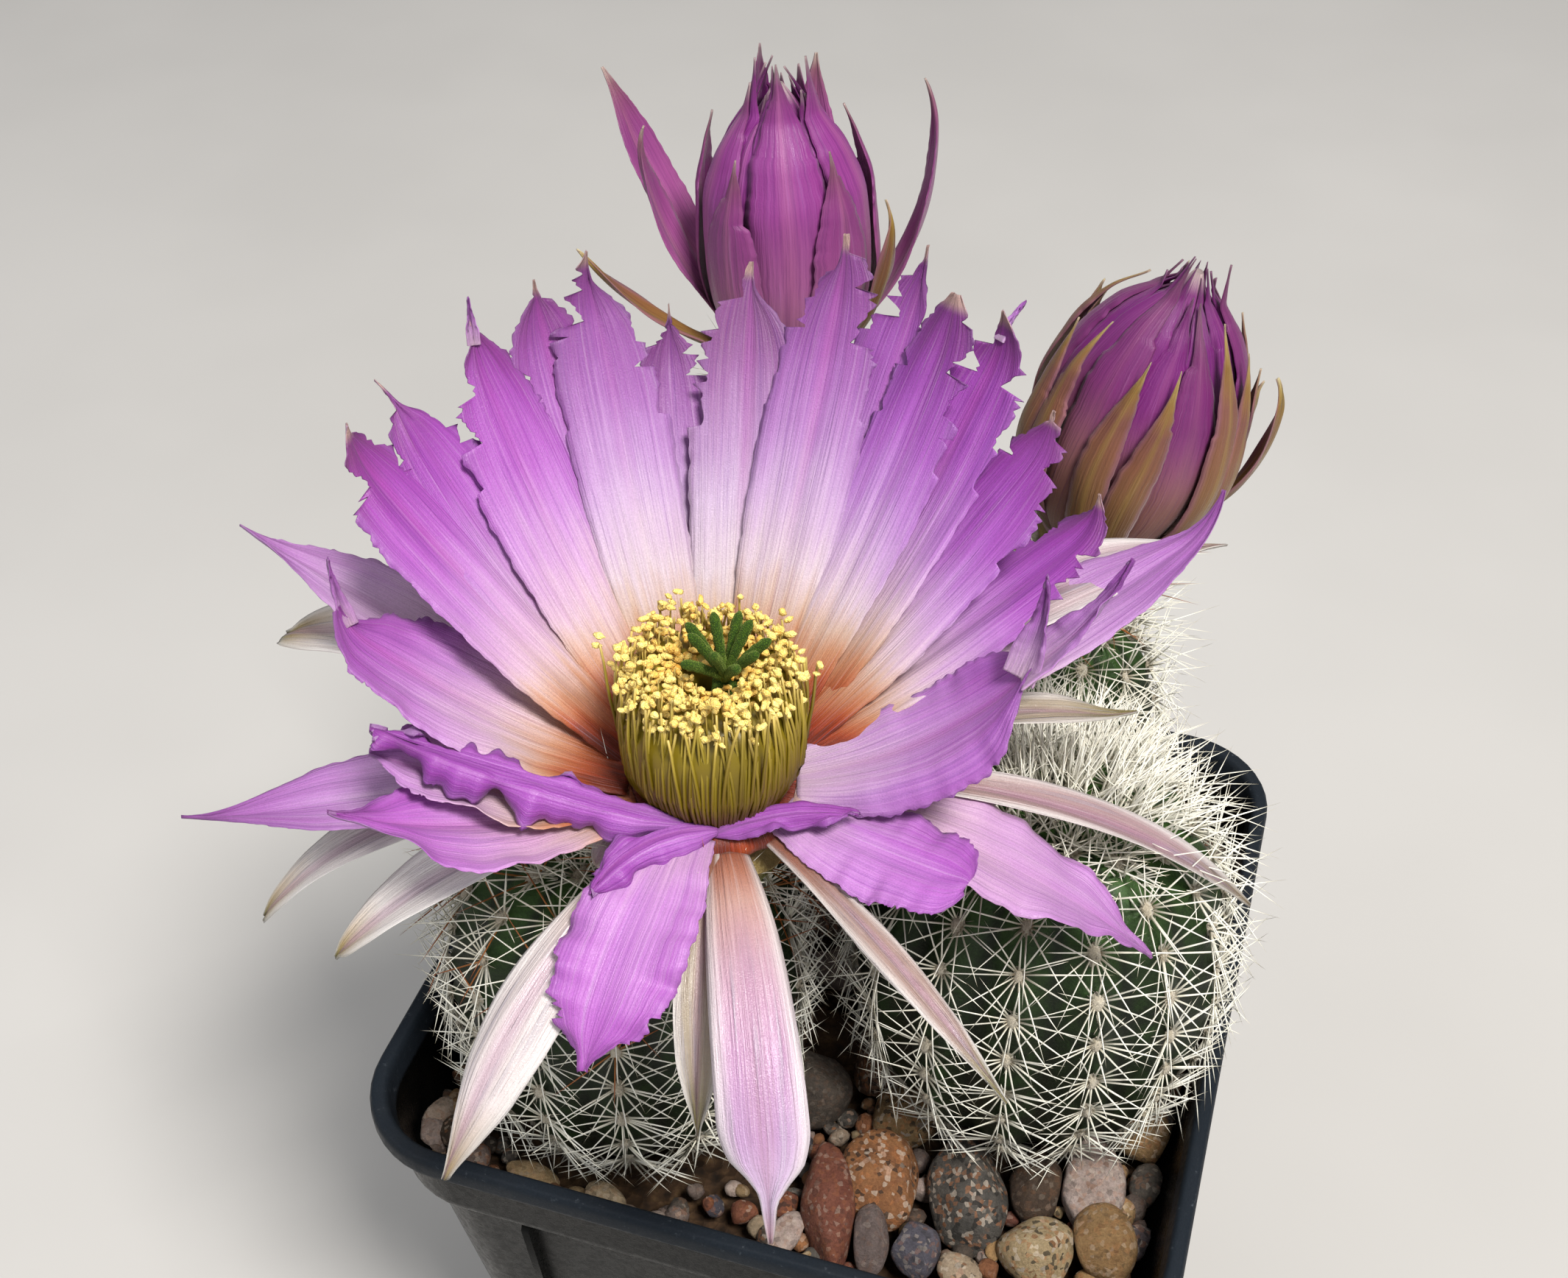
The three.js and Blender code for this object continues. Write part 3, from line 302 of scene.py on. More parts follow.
def along(points, t):
    """A smooth curve through (t, value) points, without overshoot."""
    x, y = np.array(points, float).T
    t = np.clip(t, x[0], x[-1])
    k = np.clip(np.searchsorted(x, t, "right") - 1, 0, len(x) - 2)
    slope = np.diff(y) / np.diff(x)
    product, total = slope[1:] * slope[:-1], slope[1:] + slope[:-1] + 1e-12
    m = np.concatenate([[slope[0]], np.where(product > 0, 2 * product / total, 0), [slope[-1]]])
    h = x[k + 1] - x[k]
    q = (t - x[k]) / h
    ends = y[k] * (1 + 2 * q) * (1 - q) ** 2 + y[k + 1] * q**2 * (3 - 2 * q)
    return ends + h * m[k] * q * (1 - q) ** 2 - h * m[k + 1] * q**2 * (1 - q)


def rolled(vectors, axes, angles):
    """Each vector turned about its axis by its angle in degrees."""
    a = np.radians(np.asarray(angles, float))[..., None]
    upright = axes * np.sum(axes * vectors, -1, keepdims=True)
    return vectors * np.cos(a) + np.cross(axes, vectors) * np.sin(a) + upright * (1 - np.cos(a))


def to_axis(axis):
    """The rotation that takes +Z to the axis."""
    axis = unit(axis)
    x, y, _ = np.cross((0, 0, 1), axis)
    skew = np.array([[0, 0, y], [0, 0, -x], [-y, x, 0]])
    return np.eye(3) + skew + skew @ skew / (1 + axis[2])


def euler(x, y, z):
    """The rotation by those angles about the three axes."""
    return np.array(Matrix.Rotation(x, 3, "X") @ Matrix.Rotation(y, 3, "Y") @ Matrix.Rotation(z, 3, "Z"))


class Skin:
    """Points and faces of one mesh, gathered part by part."""

    def __init__(self):
        self.points, self.faces, self.forms, self.looks, self.slots = [], [], [], [], []
        self.count = 0

    def add(self, points, faces, form=(0, 0, 1), look=(0, 0, 0), slot=0):
        points = np.asarray(points, float).reshape(-1, 3)
        self.points.append(points)
        for kept, values in ((self.forms, form), (self.looks, look)):
            kept.append(np.broadcast_to(np.asarray(values, float).reshape(-1, 3), points.shape))
        for group in faces:
            group = np.asarray(group, int)
            self.faces.append(group + self.count)
            self.slots.append(np.full(len(group), slot))
        self.count += len(points)


def mesh_of(name, skin):
    mesh = bpy.data.meshes.new(name)
    points = np.concatenate(skin.points) * MM
    corners = np.concatenate([f.ravel() for f in skin.faces])
    sizes = np.concatenate([np.full(len(f), f.shape[1]) for f in skin.faces])
    starts = np.concatenate([[0], np.cumsum(sizes)[:-1]])
    mesh.vertices.add(len(points))
    mesh.vertices.foreach_set("co", points.astype(np.float32).ravel())
    mesh.loops.add(len(corners))
    mesh.loops.foreach_set("vertex_index", corners.astype(np.int32))
    mesh.polygons.add(len(sizes))
    mesh.polygons.foreach_set("loop_start", starts.astype(np.int32))
    mesh.polygons.foreach_set("material_index", np.concatenate(skin.slots).astype(np.int32))
    for label, values in (("form", skin.forms), ("look", skin.looks)):
        attribute = mesh.attributes.new(label, "FLOAT_VECTOR", "POINT")
        attribute.data.foreach_set("vector", np.concatenate(values).astype(np.float32).ravel())
    mesh.update(calc_edges=True)
    mesh.validate()
    mesh.shade_smooth()
    return mesh


def object_of(name, data):
    made = bpy.data.objects.new(name, data)
    bpy.context.scene.collection.objects.link(made)
    return made


def piece(name, skin, materials, slot, *nodes):
    """Makes the object, on the part's one body, standing for the nodes and finished with the materials; slot
    is not used.
    """
    made = object_of(name, mesh_of(name, skin))
    for material in materials:
        made.data.materials.append(material)
    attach(made, "root")
    if nodes:
        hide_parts(*nodes)
    return made


def grid_faces(rows, columns, start=0, closed=False):
    """Quads over a grid of points; closed joins the last column to the first."""
    i, j = np.meshgrid(np.arange(rows - 1), np.arange(columns if closed else columns - 1), indexing="ij")
    here, beside = start + i * columns + j, start + i * columns + (j + 1) % columns
    return np.stack([here, beside, beside + columns, here + columns], -1).reshape(-1, 4)


def tube_faces(rows, sides):
    """Quads over closed rings of points, and a cap at each end."""
    ring = np.arange(sides)[None]
    return [grid_faces(rows, sides, closed=True), ring[:, ::-1], ring + (rows - 1) * sides]


def add_shell(skin, grid, thickness, across, reach, look, faced=1.0):
    """A thin closed blade over a grid of points (rows, columns, 3), whose first face is the upper one.

    faced is less than 1 where both faces have the upper one's colours.
    """
    rows, columns = grid.shape[:2]
    normal = unit(np.cross(np.gradient(grid, axis=0), np.gradient(grid, axis=1)))
    half = thickness[..., None] / 2
    size = rows * columns
    upper = grid_faces(rows, columns)[:, ::-1]
    lower = grid_faces(rows, columns, size)
    r, c = np.arange(rows - 1) * columns, np.arange(columns - 1)
    left = np.stack([r + size, r + columns + size, r + columns, r], -1)
    right = left[:, ::-1] + columns - 1
    foot = np.stack([c, c + 1, c + 1 + size, c + size], -1)
    end = foot[:, ::-1] + (rows - 1) * columns
    points = np.concatenate([grid + normal * half, grid - normal * half])
    form = stacked(reach, across, faced)
    skin.add(points, [upper, lower, left, right, foot, end], np.concatenate([form, form * (1, 1, -1)]), look)


def add_needles(skin, feet, ways, lengths, radii, look, bends=None, segments=3, slot=0):
    """Tapering needles, each a closed skin from its foot to a point. bends is added towards the tip."""
    sides = 3
    feet, ways = np.asarray(feet, float), unit(ways)
    n = len(feet)
    lengths, radii = np.broadcast_to(lengths, n), np.broadcast_to(radii, n)
    bends = np.zeros((n, 3)) if bends is None else bends
    u = unit(np.cross(ways, np.where(np.abs(ways[:, 2:]) > 0.9, (1.0, 0, 0), (0, 0, 1.0))))
    v = np.cross(ways, u)
    t = np.linspace(0, 1, segments + 1)
    centres = feet[:, None] + ways[:, None] * (lengths[:, None] * t)[..., None]
    centres = centres + bends[:, None] * (t**2)[None, :, None]
    a = turns(sides)[None, :, None]
    width = radii[:, None] * (1 - t[:-1] ** 1.5) ** 0.75
    spread = u[:, None] * np.cos(a) + v[:, None] * np.sin(a)
    rings = centres[:, :-1, None] + spread[:, None] * width[..., None, None]
    per = segments * sides + 1
    points = np.concatenate([rings.reshape(n, -1, 3), centres[:, -1:]], 1)
    quads, foot, end = tube_faces(segments, sides)
    tip = stacked(end[0], np.roll(end[0], -1), per - 1)
    shift = (np.arange(n) * per)[:, None, None]
    faces = [(group[None] + shift).reshape(-1, group.shape[1]) for group in (quads, tip, foot)]
    form = stacked(np.concatenate([np.repeat(t[:-1], sides), [1.0]]), 0, 1)
    looks = np.asarray(look, float).reshape(-1, 1, 3)
    skin.add(points, faces, np.broadcast_to(form, points.shape), np.broadcast_to(looks, points.shape), slot)


def add_tube(skin, centres, radii, look, sides, bumps=None):
    """A closed tube along centres, with a ring at each. bumps(t, angle) is added to the radius."""
    centres, radii = np.asarray(centres, float), np.asarray(radii, float)
    ahead = unit(np.gradient(centres, axis=0))
    u = unit(np.cross(ahead, np.where(np.abs(ahead[:, 2:]) > 0.95, (0, 1.0, 0), (0, 0, 1.0))))
    v = np.cross(ahead, u)
    a = turns(sides)[None]
    t = np.linspace(0, 1, len(centres))[:, None]
    wide = radii[:, None] + (np.zeros((1, sides)) if bumps is None else bumps(t, a))
    spread = u[:, None] * np.cos(a)[..., None] + v[:, None] * np.sin(a)[..., None]
    rings = centres[:, None] + spread * wide[..., None]
    skin.add(rings, tube_faces(len(centres), sides), stacked(t, a / np.pi - 1, 1), look)


def ball(level):
    """Unit directions and triangles of an icosphere."""
    bm = bmesh.new()
    bmesh.ops.create_icosphere(bm, subdivisions=level, radius=1)
    points = np.array([v.co for v in bm.verts])
    faces = np.array([[v.index for v in f.verts] for f in bm.faces])
    bm.free()
    return points, faces


# ---------------------------------------------------------------- materials


def rgb(code):
    """A linear colour from a display colour such as 0xRRGGBB."""
    parts = [((code >> shift) & 255) / 255 for shift in (16, 8, 0)]
    return tuple(c / 12.92 if c < 0.04045 else ((c + 0.055) / 1.055) ** 2.4 for c in parts) + (1.0,)


class Finish:
    """A material whose nodes are added a few at a time. colour is its colour so far."""

    def __init__(self, name, roughness, specular, sheen=None):
        self.material = bpy.data.materials.new(name)
        self.material.use_nodes = True
        self.tree = self.material.node_tree
        self.shader = self.tree.nodes["Principled BSDF"]
        self.colour = None
        self.constant("Roughness", roughness)
        self.constant("Specular IOR Level", specular)
        if sheen:
            self.constant("Sheen Weight", sheen[0])
            self.constant("Sheen Roughness", sheen[1])
        place = self.node("ShaderNodeTexCoord").outputs["Object"]
        scaled = self.node("ShaderNodeVectorMath", {0: place, "Scale": 1 / MM}, operation="SCALE")
        self.place = scaled.outputs[0]
        self.along, self.across, self.side = self.split(self.attribute("form"))
        self.tint, self.blend, self.streak = self.split(self.attribute("look"))

    def constant(self, label, value):
        self.shader.inputs[label].default_value = value

    def node(self, kind, inputs=None, **settings):
        made = self.tree.nodes.new(kind)
        for label, value in settings.items():
            setattr(made, label, value)
        for label, value in (inputs or {}).items():
            if isinstance(value, bpy.types.NodeSocket):
                self.tree.links.new(value, made.inputs[label])
            else:
                made.inputs[label].default_value = value
        return made

    def attribute(self, name):
        return self.node("ShaderNodeAttribute", attribute_name=name).outputs["Vector"]

    def split(self, vector):
        parts = self.node("ShaderNodeSeparateXYZ", {0: vector})
        return parts.outputs[0], parts.outputs[1], parts.outputs[2]

    def join(self, x, y, z):
        return self.node("ShaderNodeCombineXYZ", {0: x, 1: y, 2: z}).outputs[0]

    def maths(self, operation, a, b=0.0):
        return self.node("ShaderNodeMath", {0: a, 1: b}, operation=operation).outputs[0]

    def times(self, a, b):
        return self.maths("MULTIPLY", a, b)

    def plus(self, a, b):
        return self.maths("ADD", a, b)

    def spread(self, value, low, high, to_low=0.0, to_high=1.0):
        """value mapped smoothly from low..high to to_low..to_high."""
        inputs = {0: value, 1: low, 2: high, 3: to_low, 4: to_high}
        return self.node("ShaderNodeMapRange", inputs, interpolation_type="SMOOTHSTEP").outputs[0]

    def noise(self, vector, scale, detail=4.0, roughness=0.55):
        inputs = {"Vector": vector, "Scale": scale, "Detail": detail, "Roughness": roughness}
        return self.node("ShaderNodeTexNoise", inputs).outputs[0]

    def cells(self, vector, scale, output=0):
        """Distance from the middle of a cell, or its own colour from output 1."""
        made = self.node("ShaderNodeTexVoronoi", {"Vector": vector, "Scale": scale}, feature="F1")
        return made.outputs[output]

    def ramp(self, value, stops):
        made = self.node("ShaderNodeValToRGB", {0: value})
        elements = made.color_ramp.elements
        while len(elements) < len(stops):
            elements.new(0.5)
        for element, (position, colour) in zip(elements, stops):
            element.position = position
            element.color = rgb(colour)
        return made.outputs[0]

    def mix(self, factor, a, b, blend="MIX"):
        a, b = [rgb(c) if isinstance(c, int) else c for c in (a, b)]
        made = self.node("ShaderNodeMix", {0: factor, 6: a, 7: b}, data_type="RGBA", blend_type=blend)
        return made.outputs[2]

    def coat(self, mask, colour):
        """Lays the colour over what is there, where the mask is."""
        self.colour = self.mix(mask, self.colour, colour)

    def shade(self, value, low, high, darkest, lightest):
        """Makes the colour darker or lighter as value goes from low to high."""
        amount = self.spread(value, low, high, darkest, lightest)
        self.colour = self.mix(1.0, self.colour, self.join(amount, amount, amount), "MULTIPLY")

    def bump(self, height, distance, strength):
        inputs = {"Height": height, "Distance": distance * MM, "Strength": strength}
        before = self.shader.inputs["Normal"]
        if before.is_linked:
            inputs["Normal"] = before.links[0].from_socket
        self.tree.links.new(self.node("ShaderNodeBump", inputs).outputs[0], before)

    def done(self, rough=None, through=0.0):
        """The material, with that roughness and that share of the light let through, as by a thin leaf."""
        self.tree.links.new(self.colour, self.shader.inputs["Base Color"])
        if rough is not None:
            self.tree.links.new(rough, self.shader.inputs["Roughness"])
        if through:
            thin = self.node("ShaderNodeBsdfTranslucent", {"Color": self.colour})
            inputs = {0: through, 1: self.shader.outputs[0], 2: thin.outputs[0]}
            both = self.node("ShaderNodeMixShader", inputs)
            normal = self.shader.inputs["Normal"]
            if normal.is_linked:
                self.tree.links.new(normal.links[0].from_socket, thin.inputs["Normal"])
            self.tree.links.new(both.outputs[0], self.tree.nodes["Material Output"].inputs[0])
        return self.material


def petal_streaks(f, count):
    """Fine lines from base to tip: dark in a vein and light between veins."""
    lines = f.join(f.times(f.across, count), f.times(f.along, 2.2), f.times(f.tint, 37))
    return f.noise(lines, 1.0, 3.0, 0.65)


def petal_done(f, bumps, grain_bump, rough, through, shades=None):
    """The petal's material, with its grain. bumps are the height, distance and strength of each."""
    grain = f.noise(f.place, 9.0, 2.0)
    if shades:
        f.shade(grain, 0.3, 0.7, *shades)
    for bump in (*bumps, (grain, *grain_bump)):
        f.bump(*bump)
    return f.done(f.spread(grain, 0.35, 0.7, *rough), through)


def inner_petal():
    """streak takes a tepal from violet to pink, and blend towards a greyish lilac, partly its own colour and
    partly painted shade on the rear middle tepals.
    """
    f = Finish("inner_petal", 0.4, 0.5, sheen=(0.06, 0.35))
    edge = f.maths("ABSOLUTE", f.across)
    streaks, hairs, bands = petal_streaks(f, 24), petal_streaks(f, 70), petal_streaks(f, 6)
    reach = f.along
    for uneven, amount in ((f.noise(f.place, 0.16, 3.0), 0.14), (bands, 0.2)):
        reach = f.plus(reach, f.times(f.maths("SUBTRACT", uneven, 0.5), amount))
    reach = f.maths("SUBTRACT", reach, f.times(edge, f.spread(f.along, 0.1, 0.4, 0.1, -0.05)))
    violet = f.ramp(reach, [
        (0.0, 0x6E2410), (0.05, 0x9E3E1A), (0.1, 0xB4623A), (0.17, 0xC48C66), (0.25, 0xD0B4A2),
        (0.34, 0xD8C4D0), (0.46, 0xCAA6D2), (0.58, 0xBA80CA), (0.71, 0xA857BA), (0.85, 0x943FA4),
        (1.0, 0x7C327E),
    ])
    pink = f.ramp(reach, [
        (0.0, 0x6E2410), (0.05, 0xA04220), (0.1, 0xB66842), (0.18, 0xCA9478), (0.28, 0xD3AEB0),
        (0.4, 0xCFA0C2), (0.54, 0xC688C8), (0.68, 0xBC6AC2), (0.82, 0xAC50B2), (0.93, 0x984692),
        (1.0, 0x8A4A74),
    ])
    # The greyish lilac is partly painted shade, fitted to the shaded middle tepals.
    grey = f.ramp(reach, [
        (0.0, 0x7A3A18), (0.06, 0xA86A3C), (0.13, 0xBA8C64), (0.22, 0xC6AA96), (0.34, 0xD2C4CC),
        (0.5, 0xC8B2CC), (0.64, 0xB28EB8), (0.78, 0x98669A), (0.9, 0x845082), (1.0, 0x8A4C88),
    ])
    f.colour = f.mix(f.blend, f.mix(f.streak, violet, pink), grey)
    f.coat(f.times(f.spread(bands, 0.48, 0.66), f.spread(f.along, 0.26, 0.06, 0.0, 0.75)), 0x9A3010)
    dark = f.mix(f.spread(f.along, 0.1, 0.5), 0x9C5838, 0x66358C)
    f.coat(f.spread(streaks, 0.52, 0.3, 0.0, 0.26), dark)
    f.coat(f.spread(hairs, 0.5, 0.3, 0.0, 0.24), dark)
    f.coat(f.spread(streaks, 0.52, 0.75, 0.0, 0.16), 0xEBDCEF)
    midrib = f.times(f.spread(edge, 0.0, 0.2, 0.28, 0.0), f.spread(f.along, 0.3, 0.6))
    f.coat(f.times(midrib, f.spread(f.tint, 0.4, 0.8)), 0xB450A8)
    # Darker greyish lilac towards the margins of the outer half: painted shade, for a dark backdrop seen
    # through the thin edges.
    f.coat(f.times(f.spread(edge, 0.6, 1.0, 0.0, 0.3), f.spread(f.along, 0.5, 0.8)), 0x7C6890)
    f.coat(f.spread(f.along, 0.955, 0.985, 0.0, 0.75), 0xCDB09C)
    under = f.mix(f.spread(f.along, 0.2, 0.6), 0xC8AE98, 0xBE98C6)
    f.coat(f.spread(f.side, -0.3, -0.7, 0.0, 0.55), under)
    bumps = [(bands, 0.26, 0.6), (streaks, 0.08, 0.8), (hairs, 0.04, 0.8)]
    return petal_done(f, bumps, (0.04, 0.7), (0.46, 0.28), 0.32, shades=(0.92, 1.06))


def outer_petal():
    """blend takes a tepal from silvery white to olive tan, and streak from white to pink."""
    f = Finish("outer_petal", 0.34, 0.9, sheen=(0.1, 0.3))
    edge = f.maths("ABSOLUTE", f.across)
    streaks, bands = petal_streaks(f, 20), petal_streaks(f, 5)
    white = f.ramp(f.along, [
        (0.0, 0x9C5836), (0.08, 0xC09478), (0.18, 0xDBCCC2), (0.4, 0xEEEAE8), (0.78, 0xECE6E2),
        (0.9, 0xCDBCA6), (0.96, 0xA89260), (1.0, 0x7C7430),
    ])
    pink = f.ramp(f.along, [
        (0.0, 0xA05C40), (0.08, 0xB87C64), (0.18, 0xC39A90), (0.34, 0xBE98A8), (0.55, 0xBA8CB2),
        (0.75, 0xC09AC4), (0.9, 0xD4BEDA), (1.0, 0xC0969C),
    ])
    olive = f.mix(f.streak, 0x9C8A68, 0xA88C80)
    tan = f.mix(f.spread(f.along, 0.1, 0.35), 0x96604A, f.mix(f.spread(f.along, 0.75, 0.95), olive, 0x7C7430))
    f.colour = f.mix(f.blend, f.mix(f.streak, white, pink), tan)
    f.coat(f.times(f.spread(edge, 0.05, 0.35, 0.45, 0.0), f.spread(f.along, 0.15, 0.4)), 0xA8789A)
    f.coat(f.times(f.spread(bands, 0.52, 0.7, 0.0, 0.5), f.spread(f.along, 0.2, 0.45)), 0xA09AA8)
    # Whiter margins: partly the tepal's own pale edge and partly a painted highlight for the satin shine
    # along its edges.
    f.coat(f.spread(edge, 0.5, 0.95, 0.0, 0.7), 0xEAE7E4)
    f.coat(f.spread(streaks, 0.5, 0.3, 0.0, 0.28), 0x9A7C80)
    f.coat(f.spread(streaks, 0.52, 0.75, 0.0, 0.25), 0xF4EEF2)
    bumps = [(bands, 0.35, 0.7), (streaks, 0.1, 0.8)]
    return petal_done(f, bumps, (0.05, 0.8), (0.36, 0.22), 0.3, shades=(0.9, 1.05))


def bud_petal():
    """blend takes a tepal from violet to olive tan; streak makes its foot tan and deepens the violet."""
    f = Finish("bud_petal", 0.4, 0.5, sheen=(0.1, 0.3))
    edge = f.maths("ABSOLUTE", f.across)
    streaks, hairs = petal_streaks(f, 9), petal_streaks(f, 30)
    violet = f.ramp(f.along, [
        (0.0, 0xBC9094), (0.16, 0xBA7EA2), (0.36, 0xAE5EA4), (0.6, 0x9E4498), (0.82, 0x8A2E86),
        (0.94, 0x7E3474), (1.0, 0xB8A4A0),
    ])
    tan = f.ramp(f.along, [
        (0.0, 0x64481A), (0.2, 0x755424), (0.45, 0x845F30), (0.62, 0x865A38), (0.76, 0x7E5240),
        (0.88, 0x92702E), (0.95, 0xBEA45C), (1.0, 0xDCD0A0),
    ])
    f.colour = f.mix(f.blend, violet, tan)
    rib = f.times(f.spread(edge, 0.02, 0.3, 0.55, 0.0), f.spread(f.along, 0.05, 0.3))
    f.coat(rib, f.mix(f.blend, 0xB0609C, 0x957A34))
    f.coat(f.times(f.spread(edge, 0.6, 1.0, 0.0, 0.5), f.blend), 0xA06A8A)
    inward = f.times(f.streak, f.spread(f.blend, 0.6, 0.3))
    f.coat(f.times(inward, f.spread(f.along, 0.3, 0.7, 0.0, 0.7)), 0x66105E)
    f.coat(f.times(inward, f.spread(f.along, 0.66, 0.3, 0.0, 0.8)), 0x82583C)
    f.coat(f.spread(streaks, 0.52, 0.32, 0.0, 0.3), f.mix(f.blend, 0x561468, 0x5A3A26))
    f.coat(f.spread(hairs, 0.5, 0.3, 0.0, 0.28), f.mix(f.blend, 0x5A1A72, 0x5E4024))
    f.coat(f.spread(streaks, 0.55, 0.76, 0.0, 0.22), f.mix(f.blend, 0xC080CC, 0xC8A87C))
    return petal_done(f, [(streaks, 0.16, 0.9)], (0.03, 0.6), (0.5, 0.32), 0.22)


def filament():
    f = Finish("filament", 0.4, 0.5)
    f.colour = f.ramp(f.along, [
        (0.0, 0x6E3A0A), (0.12, 0x72500A), (0.35, 0x75610A), (0.65, 0x8C7A1A), (0.85, 0xAE9A3C),
        (1.0, 0xCDB566),
    ])
    f.shade(f.tint, 0.0, 1.0, 0.86, 1.1)
    return f.done(through=0.25)


def anther():
    """tint takes an anther from pale yellow to amber; the amber is painted shade, given to the inner rings
    and the middle.
    """
    f = Finish("anther", 0.75, 0.3)
    grain = f.cells(f.place, 9.0)
    f.colour = f.mix(f.spread(grain, 0.0, 0.6), 0xFBEFAE, 0xF2D878)
    # The amber is painted shade.
    f.coat(f.tint, 0xD89C34)
    f.bump(grain, 0.12, 0.8)
    return f.done()


def stigma():
    f = Finish("stigma", 0.85, 0.25, sheen=(0.5, 0.4))
    f.constant("Sheen Tint", rgb(0x9DAE54))
    nap = f.cells(f.place, 9.0)
    f.colour = f.mix(f.spread(nap, 0.1, 0.6), 0x46600F, 0x233A06)
    f.coat(f.spread(f.along, 0.0, 0.5, 0.4, 0.0), 0x7A8A2A)
    f.bump(nap, 0.1, 0.9)
    return f.done()


def green_skin():
    """blend is 0 in a furrow and 1 on a rib; the furrows are darkened almost to black as painted shade."""
    f = Finish("green_skin", 0.5, 0.3)
    mottle = f.noise(f.place, 0.5, 5.0, 0.65)
    fine = f.noise(f.place, 5.0, 3.0)
    f.colour = f.ramp(mottle, [(0.3, 0x081103), (0.5, 0x0F1C06), (0.68, 0x1A2E0D)])
    f.coat(f.spread(f.along, 0.6, 0.95, 0.0, 0.5), 0x3A6020)
    f.coat(f.spread(f.along, 0.25, 0.0, 0.0, 0.5), 0x1E1F0E)
    # Near-black furrows between the ribs: painted shade.
    f.coat(f.spread(f.blend, 0.35, 0.0, 0.0, 0.75), 0x060B03)
    f.shade(fine, 0.3, 0.7, 0.8, 1.2)
    f.bump(fine, 0.12, 0.7)
    return f.done(f.spread(mottle, 0.3, 0.7, 0.42, 0.62))


def tube_skin():
    f = Finish("tube_skin", 0.55, 0.4)
    f.colour = f.ramp(f.noise(f.place, 0.6, 4.0), [(0.3, 0x3E4A1C), (0.5, 0x5A6628), (0.7, 0x7C7A3C)])
    f.coat(f.spread(f.along, 0.6, 1.0, 0.0, 0.6), 0x8A6A44)
    f.bump(f.noise(f.place, 3.0), 0.3, 0.7)
    return f.done()


def spine():
    """tint takes a spine from cream to rusty orange, and blend from darker to lighter."""
    f = Finish("spine", 0.42, 0.5)
    cream = f.ramp(f.along, [
        (0.0, 0xB8A684), (0.08, 0xF2EEDC), (0.6, 0xFAF9F0), (0.9, 0xF6F1DE), (1.0, 0xDCCDA8),
    ])
    rusty = f.ramp(f.along, [(0.0, 0xB07C44), (0.3, 0xB06C34), (1.0, 0x8A421C)])
    f.colour = f.mix(f.spread(f.tint, 0.45, 0.55), cream, rusty)
    f.shade(f.blend, 0.0, 1.0, 0.84, 1.02)
    return f.done(through=0.2)


def wool():
    """tint takes the wool from greyish beige to white."""
    f = Finish("wool", 0.95, 0.15, sheen=(0.4, 0.5))
    fuzz = f.noise(f.place, 6.0, 4.0, 0.7)
    f.colour = f.ramp(fuzz, [(0.3, 0x7E7260), (0.5, 0xA89C84), (0.7, 0xCDC4B0)])
    f.coat(f.tint, 0xEFE8D6)
    f.bump(fuzz, 0.25, 1.0)
    return f.done()


def stone():
    """tint picks the rock, blend shifts its shade, and streak is how speckled it is."""
    f = Finish("stone", 0.7, 0.35)
    shift = f.join(f.times(f.tint, 91), f.times(f.blend, 40), f.tint)
    own = f.node("ShaderNodeVectorMath", {0: f.place, 1: shift}, operation="ADD").outputs[0]
    # Where each rock is along the tint, and its darker and lighter colour.
    rocks = [
        (0.0, 0x6E3C2E, 0x85503E), (0.15, 0x7E5232, 0xA06E44), (0.29, 0x45433F, 0x66615A),
        (0.42, 0x35281F, 0x4E3C2C), (0.58, 0xA08C82, 0xC2B0A8), (0.7, 0x94805E, 0xB29E7A),
        (0.85, 0x8A6840, 0xA58458), (1.0, 0x4C4A54, 0x686570),
    ]
    darker, lighter = (f.ramp(f.tint, [(rock[0], rock[k]) for rock in rocks]) for k in (1, 2))
    cloud = f.noise(own, 0.5, 8.0, 0.7)
    f.colour = f.mix(f.spread(cloud, 0.3, 0.7), darker, lighter)
    f.shade(f.blend, 0.0, 1.0, 0.6, 1.0)
    crystal = f.split(f.cells(own, 2.6, output=1))
    # Dark crystals, quartz and feldspar.
    speckles = [(0.8, 0.84, 0.75, 0x1E1B18), (0.82, 0.88, 0.45, 0xCDBFAE), (0.76, 0.84, 0.4, 0xA4683C)]
    for value, (low, high, strength, colour) in zip(crystal, speckles):
        f.coat(f.times(f.spread(value, low, high, 0.0, strength), f.streak), colour)
    fine = f.noise(own, 4.5, 6.0, 0.75)
    f.shade(fine, 0.3, 0.7, 0.74, 1.16)
    f.bump(fine, 0.22, 0.9)
    f.bump(cloud, 0.6, 0.7)
    return f.done(f.spread(fine, 0.3, 0.7, 0.85, 0.5))


def pot_plastic():
    f = Finish("pot_plastic", 0.3, 0.06)
    on_lip = f.spread(f.split(f.place)[2], 62.3, 62.9)
    scuffs = f.noise(f.place, 1.2, 8.0, 0.75)
    fine = f.noise(f.place, 6.0, 4.0)
    f.colour = f.mix(on_lip, 0x040505, 0x1B2026)
    worn = f.plus(f.times(on_lip, 0.3), 0.01)
    f.coat(f.times(f.spread(scuffs, 0.58, 0.72), worn), 0x70777E)
    f.shade(fine, 0.3, 0.7, 0.88, 1.1)
    f.coat(f.times(f.spread(f.noise(f.place, 0.12, 5.0), 0.45, 0.75), 0.015), 0x8A7C68)
    f.bump(fine, 0.04, 0.5)
    f.bump(scuffs, 0.06, 0.4)
    return f.done(f.plus(f.times(on_lip, 0.16), f.spread(scuffs, 0.35, 0.7, 0.2, 0.4)))


